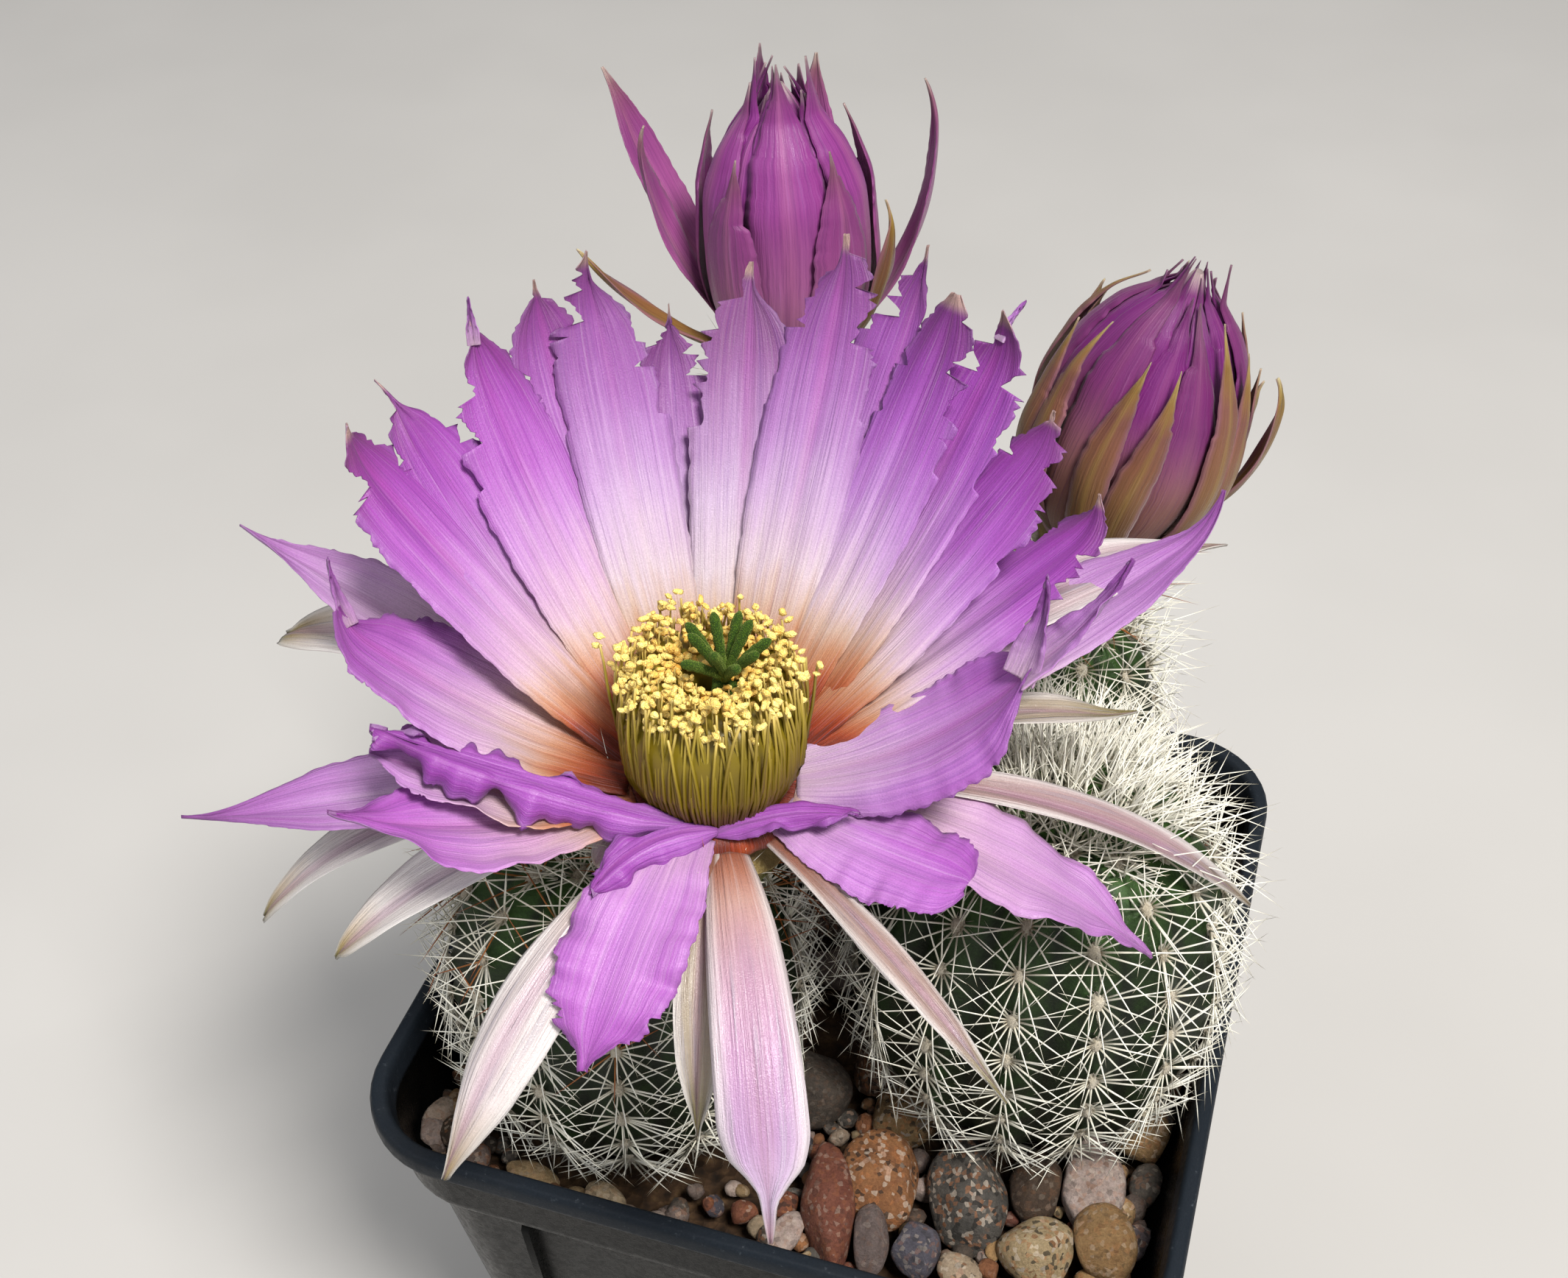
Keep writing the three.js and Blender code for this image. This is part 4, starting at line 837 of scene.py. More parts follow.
def soil():
    f = Finish("soil", 0.95, 0.2)
    f.colour = f.ramp(f.noise(f.place, 0.8, 6.0), [(0.3, 0x1E1610), (0.55, 0x3A2A1C), (0.75, 0x5A4630)])
    f.bump(f.cells(f.place, 0.9), 0.8, 0.9)
    return f.done()


def floor_paint():
    f = Finish("floor_paint", 0.6, 0.2)
    f.colour = f.mix(f.spread(f.noise(f.place, 0.01, 3.0), 0.3, 0.7), 0xB1AFAC, 0xB6B4B1)
    return f.done()


# ---------------------------------------------------------------- pot and soil


def square_ring(half, corner, height, steps=10):
    """Points round a square with rounded corners."""
    middle = np.radians(45 + 90 * np.arange(4))
    centres = np.stack([np.sign(np.cos(middle)), np.sign(np.sin(middle))], -1) * (half - corner)
    angles = np.radians(90 * (np.arange(4)[:, None] + np.arange(steps + 1)[None] / steps))
    x = centres[:, None, 0] + corner * np.cos(angles)
    y = centres[:, None, 1] + corner * np.sin(angles)
    return stacked(x, y, height).reshape(-1, 3)


def corner_start(here, other):
    """The level where the small arc of the corner here begins, on the way to the other level."""
    length = np.linalg.norm((other - here)[[0, 2]])
    return lerp(here, other, min(0.9, 0.3 * length) / max(length, 1e-9))


def rounded(levels):
    """Levels with each corner of the profile cut to a small arc."""
    levels = np.array(levels, float)
    made = [levels[0]]
    for before, here, after in zip(levels, levels[1:], levels[2:]):
        a, b = corner_start(here, before), corner_start(here, after)
        made += [lerp(lerp(a, here, t), lerp(here, b, t), t) for t in (0, 1 / 3, 2 / 3, 1)]
    return [*made, levels[-1]]


def combine(target, operation, skin):
    """Joins the skin's form to the target or cuts it out."""
    tool = object_of("tool", mesh_of("tool", skin))
    modifier = target.modifiers.new("tool", "BOOLEAN")
    modifier.operation, modifier.solver, modifier.object = operation, "EXACT", tool
    evaluated = target.evaluated_get(bpy.context.evaluated_depsgraph_get())
    mesh = bpy.data.meshes.new_from_object(evaluated)
    target.modifiers.clear()
    target.data = mesh
    bpy.data.objects.remove(tool)


def stiffening_ribs():
    """Two ribs on each wall, sunk a little into it."""
    ribs = Skin()
    half, sunk = RIB["width"] / 2, RIB["sunk"]
    (foot, _, low), (top, _, high) = POT["outside"][:2]
    for side in range(4):
        turn = np.array(Matrix.Rotation(side * math.pi / 2, 3, "Z"))
        for place in (-RIB["at"], RIB["at"]):
            sections = []
            for z, proud in RIB["levels"]:
                wall = np.interp(z, [low, high], [foot, top])
                out = np.array([wall - sunk, wall + proud, wall + proud, wall - sunk])
                across = np.array([place - half, place - 0.7 * half, place + 0.7 * half, place + half])
                sections.append(stacked(out, across, z))
            ribs.add(np.concatenate(sections) @ turn.T, tube_faces(len(RIB["levels"]), 4))
    return ribs


def drainage_drills():
    """Eight upright rods where the pot's floor is holed."""
    drills = Skin()
    a = turns(HOLE["sides"])
    x, y = HOLE["radius"] * np.cos(a), HOLE["radius"] * np.sin(a)
    for column in (-1, 0, 1):
        for row in (-1, 0, 1):
            if column or row:
                rings = [stacked(column * HOLE["at"] + x, row * HOLE["at"] + y, z) for z in (-3, 3)]
                drills.add(rings, tube_faces(2, HOLE["sides"]))
    return drills


def make_pot(material):
    skin = Skin()
    levels = rounded([*POT["outside"], *POT["lip"], *POT["inside"]])
    rings = np.array([square_ring(*level) for level in levels])
    skin.add(rings, tube_faces(*rings.shape[:2]))
    pot = piece("pot_shell", skin, [material], "pot", "pot")
    combine(pot, "UNION", stiffening_ribs())
    combine(pot, "DIFFERENCE", drainage_drills())
    pot.data.materials.clear()
    pot.data.materials.append(material)
    # Smooth shading that keeps the hard edges.
    pot.data.shade_smooth()
    pot.data.set_sharp_from_angle(angle=math.radians(40))


def make_soil(material):
    """The soil keeps its solid's form."""
    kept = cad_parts["soil"].data.materials
    kept.clear()
    kept.append(material)


# ---------------------------------------------------------------- gravel


def stepped(seed):
    """The same repeatable random numbers as the solids use."""
    state = seed
    while True:
        state = (state * 1664525 + 1013904223) % 4294967296
        yield state / 4294967296


def stone_shape(directions, rng):
    """Radius of a rounded, slightly angular stone in each direction."""
    planes, power = 13, 14
    normals = unit(rng.normal(size=(planes, 3)))
    reach = rng.uniform(0.74, 1.05, planes)
    facets = (np.maximum(directions @ normals.T, 0) / reach) ** power
    radius = (facets.sum(1) + 0.35) ** (-1 / power)
    for scale in (2, 4, 7, 13):
        waves = unit(rng.normal(size=(3, 3))) * scale
        radius = radius + 0.05 / scale * np.sin(directions @ waves.T + rng.uniform(0, 6, 3)).sum(1)
    return radius


def inside_wall(points):
    """The points kept inside the pot's wall and its rounded corners."""
    corner = GRAVEL["corner"]
    heights, reach = zip(*GRAVEL["wall"])
    straight = np.interp(points[:, 2], heights, reach)[:, None] - corner
    over = np.maximum(np.abs(points[:, :2]) - straight, 0)
    over *= np.minimum(1, corner / np.maximum(np.linalg.norm(over, axis=1, keepdims=True), 1e-9))
    flat = np.sign(points[:, :2]) * (np.minimum(np.abs(points[:, :2]), straight) + over)
    return np.column_stack([flat, points[:, 2]])


def add_stone(skin, rng, shape, centre, size, turn, rock):
    directions, faces = shape
    points = (directions * stone_shape(directions, rng)[:, None] * size) @ turn.T + centre
    skin.add(inside_wall(points), [faces], look=rock)


def clear_of(x, y, reach, share):
    """Whether a stone of that reach is clear of the large stones and of that share of the stems."""
    others = [(at_x, at_y, reach + width / 2) for at_x, at_y, width, *_ in LARGE_STONES]
    others += [(stem["x"], stem["y"], share * stem["radius"]) for stem in STEMS.values()]
    return all(math.hypot(x - at_x, y - at_y) >= apart for at_x, at_y, apart in others)


def add_large_stones(skin, rng):
    shape = ball(4)
    turn = euler(math.radians(LARGE_STONE["lean"]), 0, math.radians(LARGE_STONE["turn"]))
    for x, y, width, depth, height, rock, speckle in LARGE_STONES:
        size = np.array([width, depth, height]) / 2 * LARGE_STONE["grow"] * LARGE_STONE["plump"]
        look = (rock, rng.uniform(0.3, 0.7), speckle)
        add_stone(skin, rng, shape, (x, y, LARGE_STONE["height"]), size, turn, look)


def add_small_stones(skin, rng):
    shape = ball(3)
    for x, y, width, depth, rock in SMALL_STONES:
        height = SMALL_STONE["thickness"] * min(width, depth)
        size = np.array([width, depth, height]) / 2 * SMALL_STONE["grow"]
        turn = euler(0.2, 0.1, rng.uniform(-0.5, 0.5))
        look = (rock, rng.uniform(0.3, 0.8), rng.uniform(0, 1))
        add_stone(skin, rng, shape, (x, y, SMALL_STONE["height"]), size, turn, look)


def add_field(skin, rng):
    """The stones all over the pot, by the same draws as the solids'."""
    draw = stepped(11)
    shape = ball(3)
    rows = math.ceil(GRAVEL["reach"] / GRAVEL["pitch"])
    for row in range(-rows, rows + 1):
        for column in range(-rows, rows + 1):
            half_step = math.fmod(row, 2) / 2
            x = GRAVEL["pitch"] * (column + half_step + 0.5 * (next(draw) - 0.5))
            y = GRAVEL["pitch"] * (row * GRAVEL["row"] + 0.5 * (next(draw) - 0.5))
            size = lerp(GRAVEL["small"], GRAVEL["large"], next(draw))
            height = GRAVEL["bed"] + 0.5 * size + next(draw)
            for _ in range(STONE_DRAWS):
                next(draw)
            scale = size * np.array([1 + 0.3 * next(draw), 0.8 + 0.15 * next(draw), 0.72 + 0.2 * next(draw)])
            tilt = 0.9 * (next(draw) - 0.5), 0.9 * (next(draw) - 0.5), 2 * math.pi * next(draw)
            rock = (rng.uniform(), rng.uniform(), rng.choice([0.15, 0.6, 1.0]))
            if clear_of(x, y, 0.8 * size, 0.74) and max(abs(x), abs(y)) < GRAVEL["reach"]:
                add_stone(skin, rng, shape, (x, y, height), scale * GRAVEL["plump"], euler(*tilt), rock)


def add_grit(skin, rng):
    """Small stones between the others."""
    for fineness, count, small, large, low, high in GRIT:
        shape = ball(fineness)
        for _ in range(count):
            x, y = rng.uniform(-GRIT_REACH, GRIT_REACH), rng.uniform(low, high)
            size = rng.uniform(small, large)
            rock = (rng.uniform(), rng.uniform(), rng.uniform())
            height = GRAVEL["bed"] + rng.uniform(0, 0.9) + 0.3 * size
            scale = size * rng.uniform(0.75, 1.15, 3)
            turn = euler(*rng.uniform(0, 6, 3))
            if clear_of(x, y, 0.1, 0.86):
                add_stone(skin, rng, shape, (x, y, height), scale, turn, rock)


def make_gravel(material):
    rng = np.random.default_rng(2)
    skin = Skin()
    for add_some in (add_large_stones, add_small_stones, add_field, add_grit):
        add_some(skin, rng)
    piece("gravel_stones", skin, [material], "gravel", "gravel")


# ---------------------------------------------------------------- stems


def stem_point(stem, u, angle, ridge, grow=0.0):
    """The skin at u from foot to top and that angle. ridge is 0 in a furrow and 1 on a rib."""
    bulge = np.sin(np.pi * u)
    radius = stem["radius"] * np.maximum(bulge, 0) ** STEM_SWELL - RIB_DEPTH * (1 - ridge) * bulge + grow
    rise = stem["height"] * (1 - np.cos(np.pi * u)) / 2
    return stacked(stem["x"] + radius * np.cos(angle), stem["y"] + radius * np.sin(angle), STEM_FOOT + rise)


def first_areole(rib):
    return AREOLE_PITCH * (0.75 if rib % 2 else 0.25) + 1.5


def rib_walk(stem, angle):
    """Points up a rib and the distance walked at each."""
    points = stem_point(stem, RIB_STEPS, angle, 1.0)
    return points, np.concatenate([[0], np.cumsum(np.linalg.norm(np.diff(points, axis=0), axis=1))])


def areoles(stem):
    """Point, upward, sideways and outward directions and u of every areole."""
    for rib in range(stem["ribs"]):
        angle = math.radians(stem["turn"]) + 2 * math.pi * rib / stem["ribs"]
        points, walked = rib_walk(stem, angle)
        side = np.array([-math.sin(angle), math.cos(angle), 0])
        place = first_areole(rib)
        while place < walked[-1]:
            k = min(int(np.searchsorted(walked, place)), len(points) - 2)
            up = unit(points[k + 1] - points[k])
            yield points[k], up, side, unit(np.cross(side, up)), RIB_STEPS[k]
            place += AREOLE_PITCH


def make_body(name, stem, material, rng):
    rows, per_rib = 60, 6
    columns = per_rib * stem["ribs"]
    u = np.linspace(0.02, 0.985, rows)[:, None]
    start = math.radians(stem["turn"])
    angles = turns(columns, start)
    ridge = (0.5 + 0.5 * np.cos(stem["ribs"] * (angles - start))) ** 0.85
    nearest = np.round(np.arange(columns) / per_rib).astype(int) % stem["ribs"]
    walked = np.interp(u, RIB_STEPS, rib_walk(stem, 0.0)[1])
    phase = (walked - np.array([first_areole(rib) for rib in nearest])) / AREOLE_PITCH
    tubercle = 0.45 * (0.5 + 0.5 * np.cos(2 * np.pi * phase)) - 0.3
    grow = tubercle * ridge**2 * np.sin(np.pi * u)
    body = Skin()
    look = stacked(rng.uniform(), ridge, np.zeros_like(grow))
    body.add(stem_point(stem, u, angles, ridge, grow), tube_faces(rows, columns), stacked(u, angles, 1), look)
    piece(name + "_body", body, [material], "stem", name)


def spines_round(areole, stem, rng):
    """Foot, direction, length, bend and look of each of an areole's spines, combed down low on the stem."""
    point, up, side, out, u = areole
    count = rng.integers(SPINE["fewest"], SPINE["most"] + 1)
    low = smooth((0.42 - u) / 0.3)
    for k in range(count):
        around = 2 * np.pi * (k + rng.uniform(-0.22, 0.22)) / count
        flat = up * np.cos(around) + side * np.sin(around)
        flat = unit(flat - up * 0.55 * low)
        lift = math.radians(rng.normal(lerp(18, 14, low) + 22 * smooth((u - 0.55) / 0.3), 6))
        reach = (SPINE["length"] + SPINE["sideways"] * abs(math.sin(around))) * rng.uniform(0.85, 1.12)
        reach *= 1 + 0.5 * smooth((u - 0.6) / 0.3)
        bend = -out * rng.uniform(0.0, 0.3)
        rusty = stem["x"] < -10 and u > 0.6 and rng.uniform() < 0.12
        look = (0.9 if rusty else rng.uniform(0, 0.3), rng.uniform(), 0)
        yield point + out * 0.1 + flat * 0.3, flat * math.cos(lift) + out * math.sin(lift), reach, bend, look


def add_wool(fluff, shape, areole, rng):
    """The tuft of wool in an areole."""
    dome, faces = shape
    point, up, side, out, _ = areole
    squash = np.array([0.5, 0.78, 0.42]) * rng.uniform(0.8, 1.15)
    lumps = 1 + 0.16 * rng.normal(size=len(dome))
    tuft = (dome * lumps[:, None] * squash) @ np.stack([side, up, out], 1).T + point + out * 0.05
    fluff.add(tuft, [faces], look=(rng.uniform(0, 0.3), 0, 0))


def hairs_round(areole, rng):
    """Foot and direction of each of an areole's woolly hairs."""
    point, up, side, out, _ = areole
    for _ in range(HAIR["of_areole"]):
        foot = point + (side * rng.normal() * 0.28 + up * rng.normal() * 0.42)
        yield foot, unit(rng.normal(size=3) * 0.8 + out * 0.9)


def make_spines(name, stem, spine_material, wool_material, rng):
    spines, fluff = Skin(), Skin()
    shape = ball(2)
    needles, hairs = [], []
    for areole in areoles(stem):
        needles += spines_round(areole, stem, rng)
        add_wool(fluff, shape, areole, rng)
        hairs += hairs_round(areole, rng)
    feet, ways, lengths, bends, looks = (np.array(part) for part in zip(*needles))
    add_needles(spines, feet, ways, kept_under_tepals(feet, ways, lengths), SPINE["radius"], looks, bends)
    feet, ways = zip(*hairs)
    add_needles(fluff, feet, ways, rng.uniform(0.6, 1.3, len(feet)), HAIR["radius"], (0.3, 0, 0), segments=2)
    add_crown(stem, spines, fluff, rng)
    piece(name + "_spines", spines, [spine_material], "stem")
    piece(name + "_wool", fluff, [wool_material], "stem")


def kept_under_tepals(feet, ways, lengths):
    """Lengths cut where a spine would pass through a tepal that hangs over it."""
    clear = SPINE["clear"]
    tips = feet + unit(ways) * lengths[:, None]
    for kind, azimuth, length, low, high, width, _, whorl, _ in TEPALS:
        if kind == "inner":
            continue
        lift = lift_of(low, high, whorl)
        path = foot_of(azimuth, whorl) + midline(length, lift, azimuth, 0, 0, 0, np.linspace(0, 1, 40))[0]
        gaps = np.linalg.norm(tips[:, None, :2] - path[None, :, :2], axis=-1)
        limit = path[gaps.argmin(1), 2] - clear
        over = (gaps.min(1) < width / 2 + clear) & (tips[:, 2] > limit) & (feet[:, 2] < limit)
        share = (limit - feet[:, 2]) / np.maximum(tips[:, 2] - feet[:, 2], 1e-6)
        lengths = np.where(over, lengths * np.clip(share, 0.2, 1), lengths)
    return lengths


def add_crown(stem, spines, fluff, rng):
    """The brush of young spines on a stem's top, in tufts that lean outwards, round a woolly middle."""
    top = stem_point(stem, 1.0, 0.0, 1.0)
    wide = TUFT["spread"] * stem["radius"]
    count = TUFT["needles"]
    for k in range(stem["tufts"]):
        share = math.sqrt((k + 0.5) / stem["tufts"])
        flat = heading(math.radians(GOLDEN_ANGLE * k))
        foot = top + flat * share * wide - (0, 0, 0.5 + share**2 * stem["height"] * 0.06)
        lean = unit(flat * (0.12 + 0.85 * share) + (0, 0, 1))
        ways = unit(lean + rng.normal(size=(count, 3)) * 0.3)
        lengths = rng.uniform(0.6, 1.05, count) * lerp(stem["brush"], 0.65 * stem["brush"], share)
        feet = foot + rng.normal(size=(count, 3)) * (0.35, 0.35, 0.1)
        looks = np.column_stack([rng.uniform(0, 0.3, count), rng.uniform(0.4, 1, count), np.zeros(count)])
        lengths = kept_under_tepals(feet, ways, lengths)
        add_needles(spines, feet, ways, lengths, TUFT["radius"], looks, rng.normal(size=(count, 3)) * 0.35)
    hairs = HAIR["of_crown"]
    around = rng.uniform(0, 2 * np.pi, hairs)
    flat = stacked(np.cos(around), np.sin(around), 0)
    reach = 0.3 * stem["radius"] * np.sqrt(rng.uniform(0, 1, hairs))
    ways = unit(flat * 0.5 + (0, 0, 1) + rng.normal(size=flat.shape) * 0.5)
    feet = top + flat * reach[:, None] - (0, 0, 0.5)
    lengths = rng.uniform(1.4, 3.2, hairs)
    add_needles(fluff, feet, ways, lengths, HAIR["crown_radius"], (0.1, 0, 0), segments=2)


# ---------------------------------------------------------------- tepals


def ragged_edge(t, half, rng, depth, teeth, start=0.64):
    """half cut into uneven saw teeth that point to the tip, large and small. depth is a share of half."""
    cut = 0 * t
    for count, share in ((teeth // 2, 1.0), (2 * teeth, 0.22)):
        edges = np.concatenate([[start], np.sort(rng.uniform(start + 0.06, 0.975, count)), [1.0]])
        k = np.clip(np.searchsorted(edges, t, "right") - 1, 0, len(edges) - 2)
        phase = np.clip((t - edges[k]) / np.maximum(edges[k + 1] - edges[k], 1e-6), 0, 1)
        grown = lerp(0.25, 1.25, np.clip((t - start) / (0.9 - start), 0, 1))
        size = rng.uniform(0, 1, len(edges))[k] ** 1.3 * grown
        cut = cut + share * size * (1 - phase) ** 0.75
    jitter = 0.03 * np.sin(t * 90 + rng.uniform(0, 6)) * np.sin(t * 37)
    return half * np.clip(1 + jitter - depth * cut * (t > start), 0.25, 1.1)


def window(t, low, high):
    """1 between low and high, falling smoothly to 0 outside."""
    soft = 0.35 * (high - low)
    return smooth((t - low) / soft) * smooth((high - t) / soft)


def half_section(arc, half, cup, roll, start, span):
    """Sideways and upward offsets at each arc length from a tepal's middle: cupped, then rolled over."""
    s = arc / half[:, None]
    turn = np.arctan(2 * cup * s) + np.radians(roll)[:, None] * smooth((s - start) / span)
    turn = (turn[:, 1:] + turn[:, :-1]) / 2
    step = np.diff(arc, axis=1)
    first = np.zeros((len(arc), 1))
    return [np.hstack([first, np.cumsum(part * step, axis=1)]) for part in (np.cos(turn), np.sin(turn))]


def midline(length, lift, azimuth, curl, hook, bend, t):
    """Points, directions ahead and headings along a tepal whose lift goes evenly from base to tip."""
    steps = 240
    fine = np.linspace(0, 1, steps + 1)
    late = np.clip((fine - 0.84) / 0.16, 0, 1) ** 1.5
    rise = np.radians(lerp(lift[0], lift[1], fine) + curl * late)
    way = np.radians(azimuth + bend * fine + hook * late)
    ahead = stacked(np.cos(rise) * np.cos(way), np.cos(rise) * np.sin(way), np.sin(rise))
    walked = np.concatenate([np.zeros((1, 3)), np.cumsum((ahead[1:] + ahead[:-1]) / 2, 0)]) * length / steps
    points, directions = (
        np.stack([np.interp(t, fine, values[:, k]) for k in range(3)], -1) for values in (walked, ahead)
    )
    return points, unit(directions), np.interp(t, fine, way)


def tepal_half(t, which, kind, width, cup, rolls, torn, columns, rng):
    """Sideways and upward offsets, place across and how far it has turned over, of one half of a tepal.

    torn is how deep its edge is torn, or None for a smooth edge.
    """
    s = np.linspace(0, 1, columns // 2 + 1)[None]
    roll, start, span, swell = 0 * t, 0.5, 0.5, 1 + 0 * t
    for one, low, high, degrees, begin, over, grow in rolls:
        if one == which:
            share = window(t, low, high)
            roll, start, span, swell = degrees * share, begin, over, lerp(1, grow, share)
    skew = rng.uniform(-0.04, 0.04) * smooth(t / 0.7)
    half = np.maximum(along(OUTLINE[kind], np.clip(t + skew, 0, 1)) * width / 2 * swell, 0.02)
    jagged = half if torn is None else ragged_edge(t, half, rng, torn, rng.integers(12, 20))
    q = s * (half / jagged)[:, None]
    q = np.where(q < 0.85, q, 0.85 + 0.15 * (1 - np.exp(-(q - 0.85) / 0.15)))
    q = q / np.maximum(q[:, -1:], 1)
    q[:, -1] = 1
    arc = q * jagged[:, None]
    own = arc / half[:, None]
    turned = (np.abs(roll)[:, None] * smooth((own - start) / span) - 50) / 70
    return *half_section(arc, half, cup, roll, start, span), own, turned


def add_tepal(skin, base, azimuth, length, lift, width, kind, cup, look, rng, *, ragged=True, place=None,
              bend=0.0, twist=0.0, curl=0.0, hook=0.0, wave=0.0, waves=3.0, rolls=(), columns=15,
              tones=(0, 1), torn=None):
    """A tepal that starts at base and follows its lift, with the same midline as in the solids.

    tones is the part of the way from base to tip whose colours it runs through.
    """
    t = np.linspace(0, 1, 56)
    if ragged:
        t = np.concatenate([np.linspace(0, 0.56, 30, endpoint=False), np.linspace(0.56, 1, 70)])
        torn = TORN[kind] if torn is None else torn
    if rolls:
        columns = 29
    middle, ahead, way = midline(length, lift, azimuth, curl, hook, bend, t)
    side = rolled(stacked(-np.sin(way), np.cos(way), 0), ahead, twist * t)
    upper = np.cross(ahead, side)
    halves = [tepal_half(t, which, kind, width, cup, rolls, torn, columns, rng) for which in (0, 1)]
    x, lifted, s, turned = (
        np.hstack([sign * left[:, :0:-1], right]) for sign, left, right in zip((-1, 1, -1, 1), *halves)
    )
    t = t[:, None]
    own = look[0] * 20
    way = 2 * np.pi * waves * t + np.where(s > 0, 0, 2.1) + own
    ripples = 0.65 * np.sin(way) + 0.4 * np.sin(1.7 * way + 1) + 0.25 * np.sin(3.3 * way + own)
    ruffle = wave * np.abs(s) ** 1.6 * ripples
    flutter = 0.16 * np.abs(s) * np.sin(11 * t + 5 * s + own)
    pleats = 0.08 * np.cos(s * 9 + own) - 0.25 * np.exp(-((s / 0.16) ** 2))
    fade = smooth(t / 0.4)
    folded = np.clip(turned, 0, 1)
    lifted = lifted + flutter * fade + pleats * fade * smooth((1 - t) / 0.15)
    grid = base + middle[:, None] + side[:, None] * x[..., None] + upper[:, None] * lifted[..., None]
    outward = unit(np.cross(np.gradient(grid, axis=0), np.gradient(grid, axis=1)))
    grid = grid + outward * (ruffle * np.maximum(fade, folded))[..., None]
    if place is not None:
        grid = place(grid)
    thick = lerp(0.4, 0.16, smooth(t / 0.5)) * (1 - 0.65 * np.abs(s).clip(0, 1) ** 3)
    thick = np.maximum(thick * smooth((1 - t) / 0.06 + 0.35), 0.05)
    reach = lerp(*tones, t)
    reach = reach + folded * np.maximum(0.76 + 0.08 * t - reach, 0)
    add_shell(skin, grid, thick, np.clip(s, -1.2, 1.2), reach, look, faced=1 - folded)


def add_fluted(skin, profile, reach, sides, flutes, depth, across=None):
    """A fluted ring round the flower's middle, whose profile of (radius, z) comes back to its start.

    reach is the place along of each level, and across how many tepals stand in half the ring, if any do.
    """
    a = turns(sides)
    r, z = np.array(profile, float).T[:, :, None]
    r = r + depth * np.cos(flutes * a)
    points = stacked(FLOWER["x"] + r * np.cos(a), FLOWER["y"] + r * np.sin(a), z)
    faces = grid_faces(len(profile) + 1, sides, closed=True)
    size = len(profile) * sides
    faces = np.where(faces >= size, faces - size, faces)
    tones = np.broadcast_to(np.asarray(reach)[:, None], r.shape)
    if across is None:
        skin.add(points, [faces], stacked(tones, 0, 1), (0.3, 0, 0))
    else:
        skin.add(points, [faces], stacked(tones, np.abs((a * across / np.pi) % 2 - 1), 1), (0.4, 0, 0))


def lift_of(low, high, whorl):
    """Lift at the base and tip of a tepal of that whorl."""
    return low - WHORL["lift"] * whorl, high - WHORL["lift"] * whorl


def foot_of(azimuth, whorl):
    """Where a tepal of that whorl grows from the flower's ring."""
    a = math.radians(azimuth)
    ring = FLOWER["ring"] + WHORL["out"] * whorl
    height = FLOWER["z"] + 0.5 - WHORL["drop"] * whorl
    return np.array([FLOWER["x"] + ring * math.cos(a), FLOWER["y"] + ring * math.sin(a), height])


def add_listed_tepal(skin, row, rng):
    """One row of TEPALS, with its spurs."""
    kind, azimuth, length, low, high, width, cup, whorl, extra = row
    is_outer = kind == "outer"
    extra = dict(extra)
    shade = extra.pop("tan" if is_outer else "pale", 0.0)
    look = (rng.uniform(), shade, extra.pop("pink", 0.0))
    spurs = extra.pop("spurs", [])
    loose = {"bend": rng.uniform(-4, 4), "twist": rng.uniform(-8, 8), **extra}
    shape = loose.pop("shape", kind)
    loose.setdefault("columns", 11 if is_outer and width < 6 else 15)
    if kind == "inner" and whorl == 0:
        cup = INNERMOST_CUP
    foot, lift = foot_of(azimuth, whorl), lift_of(low, high, whorl)
    add_tepal(skin, foot, azimuth, length, lift, width, shape, cup, look, rng, ragged=not is_outer, **loose)
    curl, hook = loose.get("curl", 0.0), loose.get("hook", 0.0)
    end = foot + midline(length, lift, azimuth, curl, hook, loose["bend"], np.array([0.93]))[0][0]
    for way, reach, low, high, wide in spurs:
        look = (rng.uniform(), 0, look[2])
        add_tepal(skin, end, way, reach, (low, high), wide, "spur", 0.4, look, rng, wave=0.04 * wide,
                  ragged=False, columns=11, tones=(0.38, 0.74))


def make_open_flower(inner_material, outer_material):
    rng = np.random.default_rng(5)
    rear, front, outer = Skin(), Skin(), Skin()
    for row in TEPALS:
        kind, azimuth, *_ = row
        add_listed_tepal(outer if kind == "outer" else rear if 40 < azimuth < 165 else front, row, rng)
    for azimuth, lift in SCALES:
        look = (rng.uniform(), 0.2, 0.6)
        add_tepal(outer, foot_of(azimuth, 2), azimuth, 4.6, (lift, lift - 35), 4, "strap", -0.1, look, rng,
                  ragged=False, columns=11)
    for ring, height, azimuth, bend, length, low, high, width, wave in CURLS:
        foot = foot_of(ring, 0) + (0, 0, height)
        look = (rng.uniform(), 0, 0.25)
        add_tepal(front, foot, azimuth, length, (low, high), width, "curl", -0.45, look, rng,
                  bend=bend, wave=wave, waves=length / 6, rolls=CURL_ROLLS, tones=(0.66, 0.84))
    add_fluted(front, COLLAR, COLLAR_TONES, 120, 20, 0.1, across=10)
    piece("open_flower_rear_petals", rear, [inner_material], "petals", "open_flower_petals")
    piece("open_flower_front_petals", front, [inner_material], "petals", "open_flower_petals")
    piece("open_flower_outer_petals", outer, [outer_material], "petals", "open_flower_petals")


# ---------------------------------------------------------------- the middle of the flower


def add_anthers(skin, shape, spot, count, tone, rng):
    grains, faces = shape
    for _ in range(count):
        size = rng.uniform(0.8, 1.2, 3) * ANTHER * rng.uniform(0.8, 1.2)
        lumps = 1 + 0.14 * rng.normal(size=(len(grains), 1))
        place = spot + rng.normal(size=3) * 0.3
        turn = euler(*rng.uniform(0, 6, 3))
        skin.add((grains * lumps * size) @ turn.T + place, [faces], look=(tone, 0, 0), slot=1)


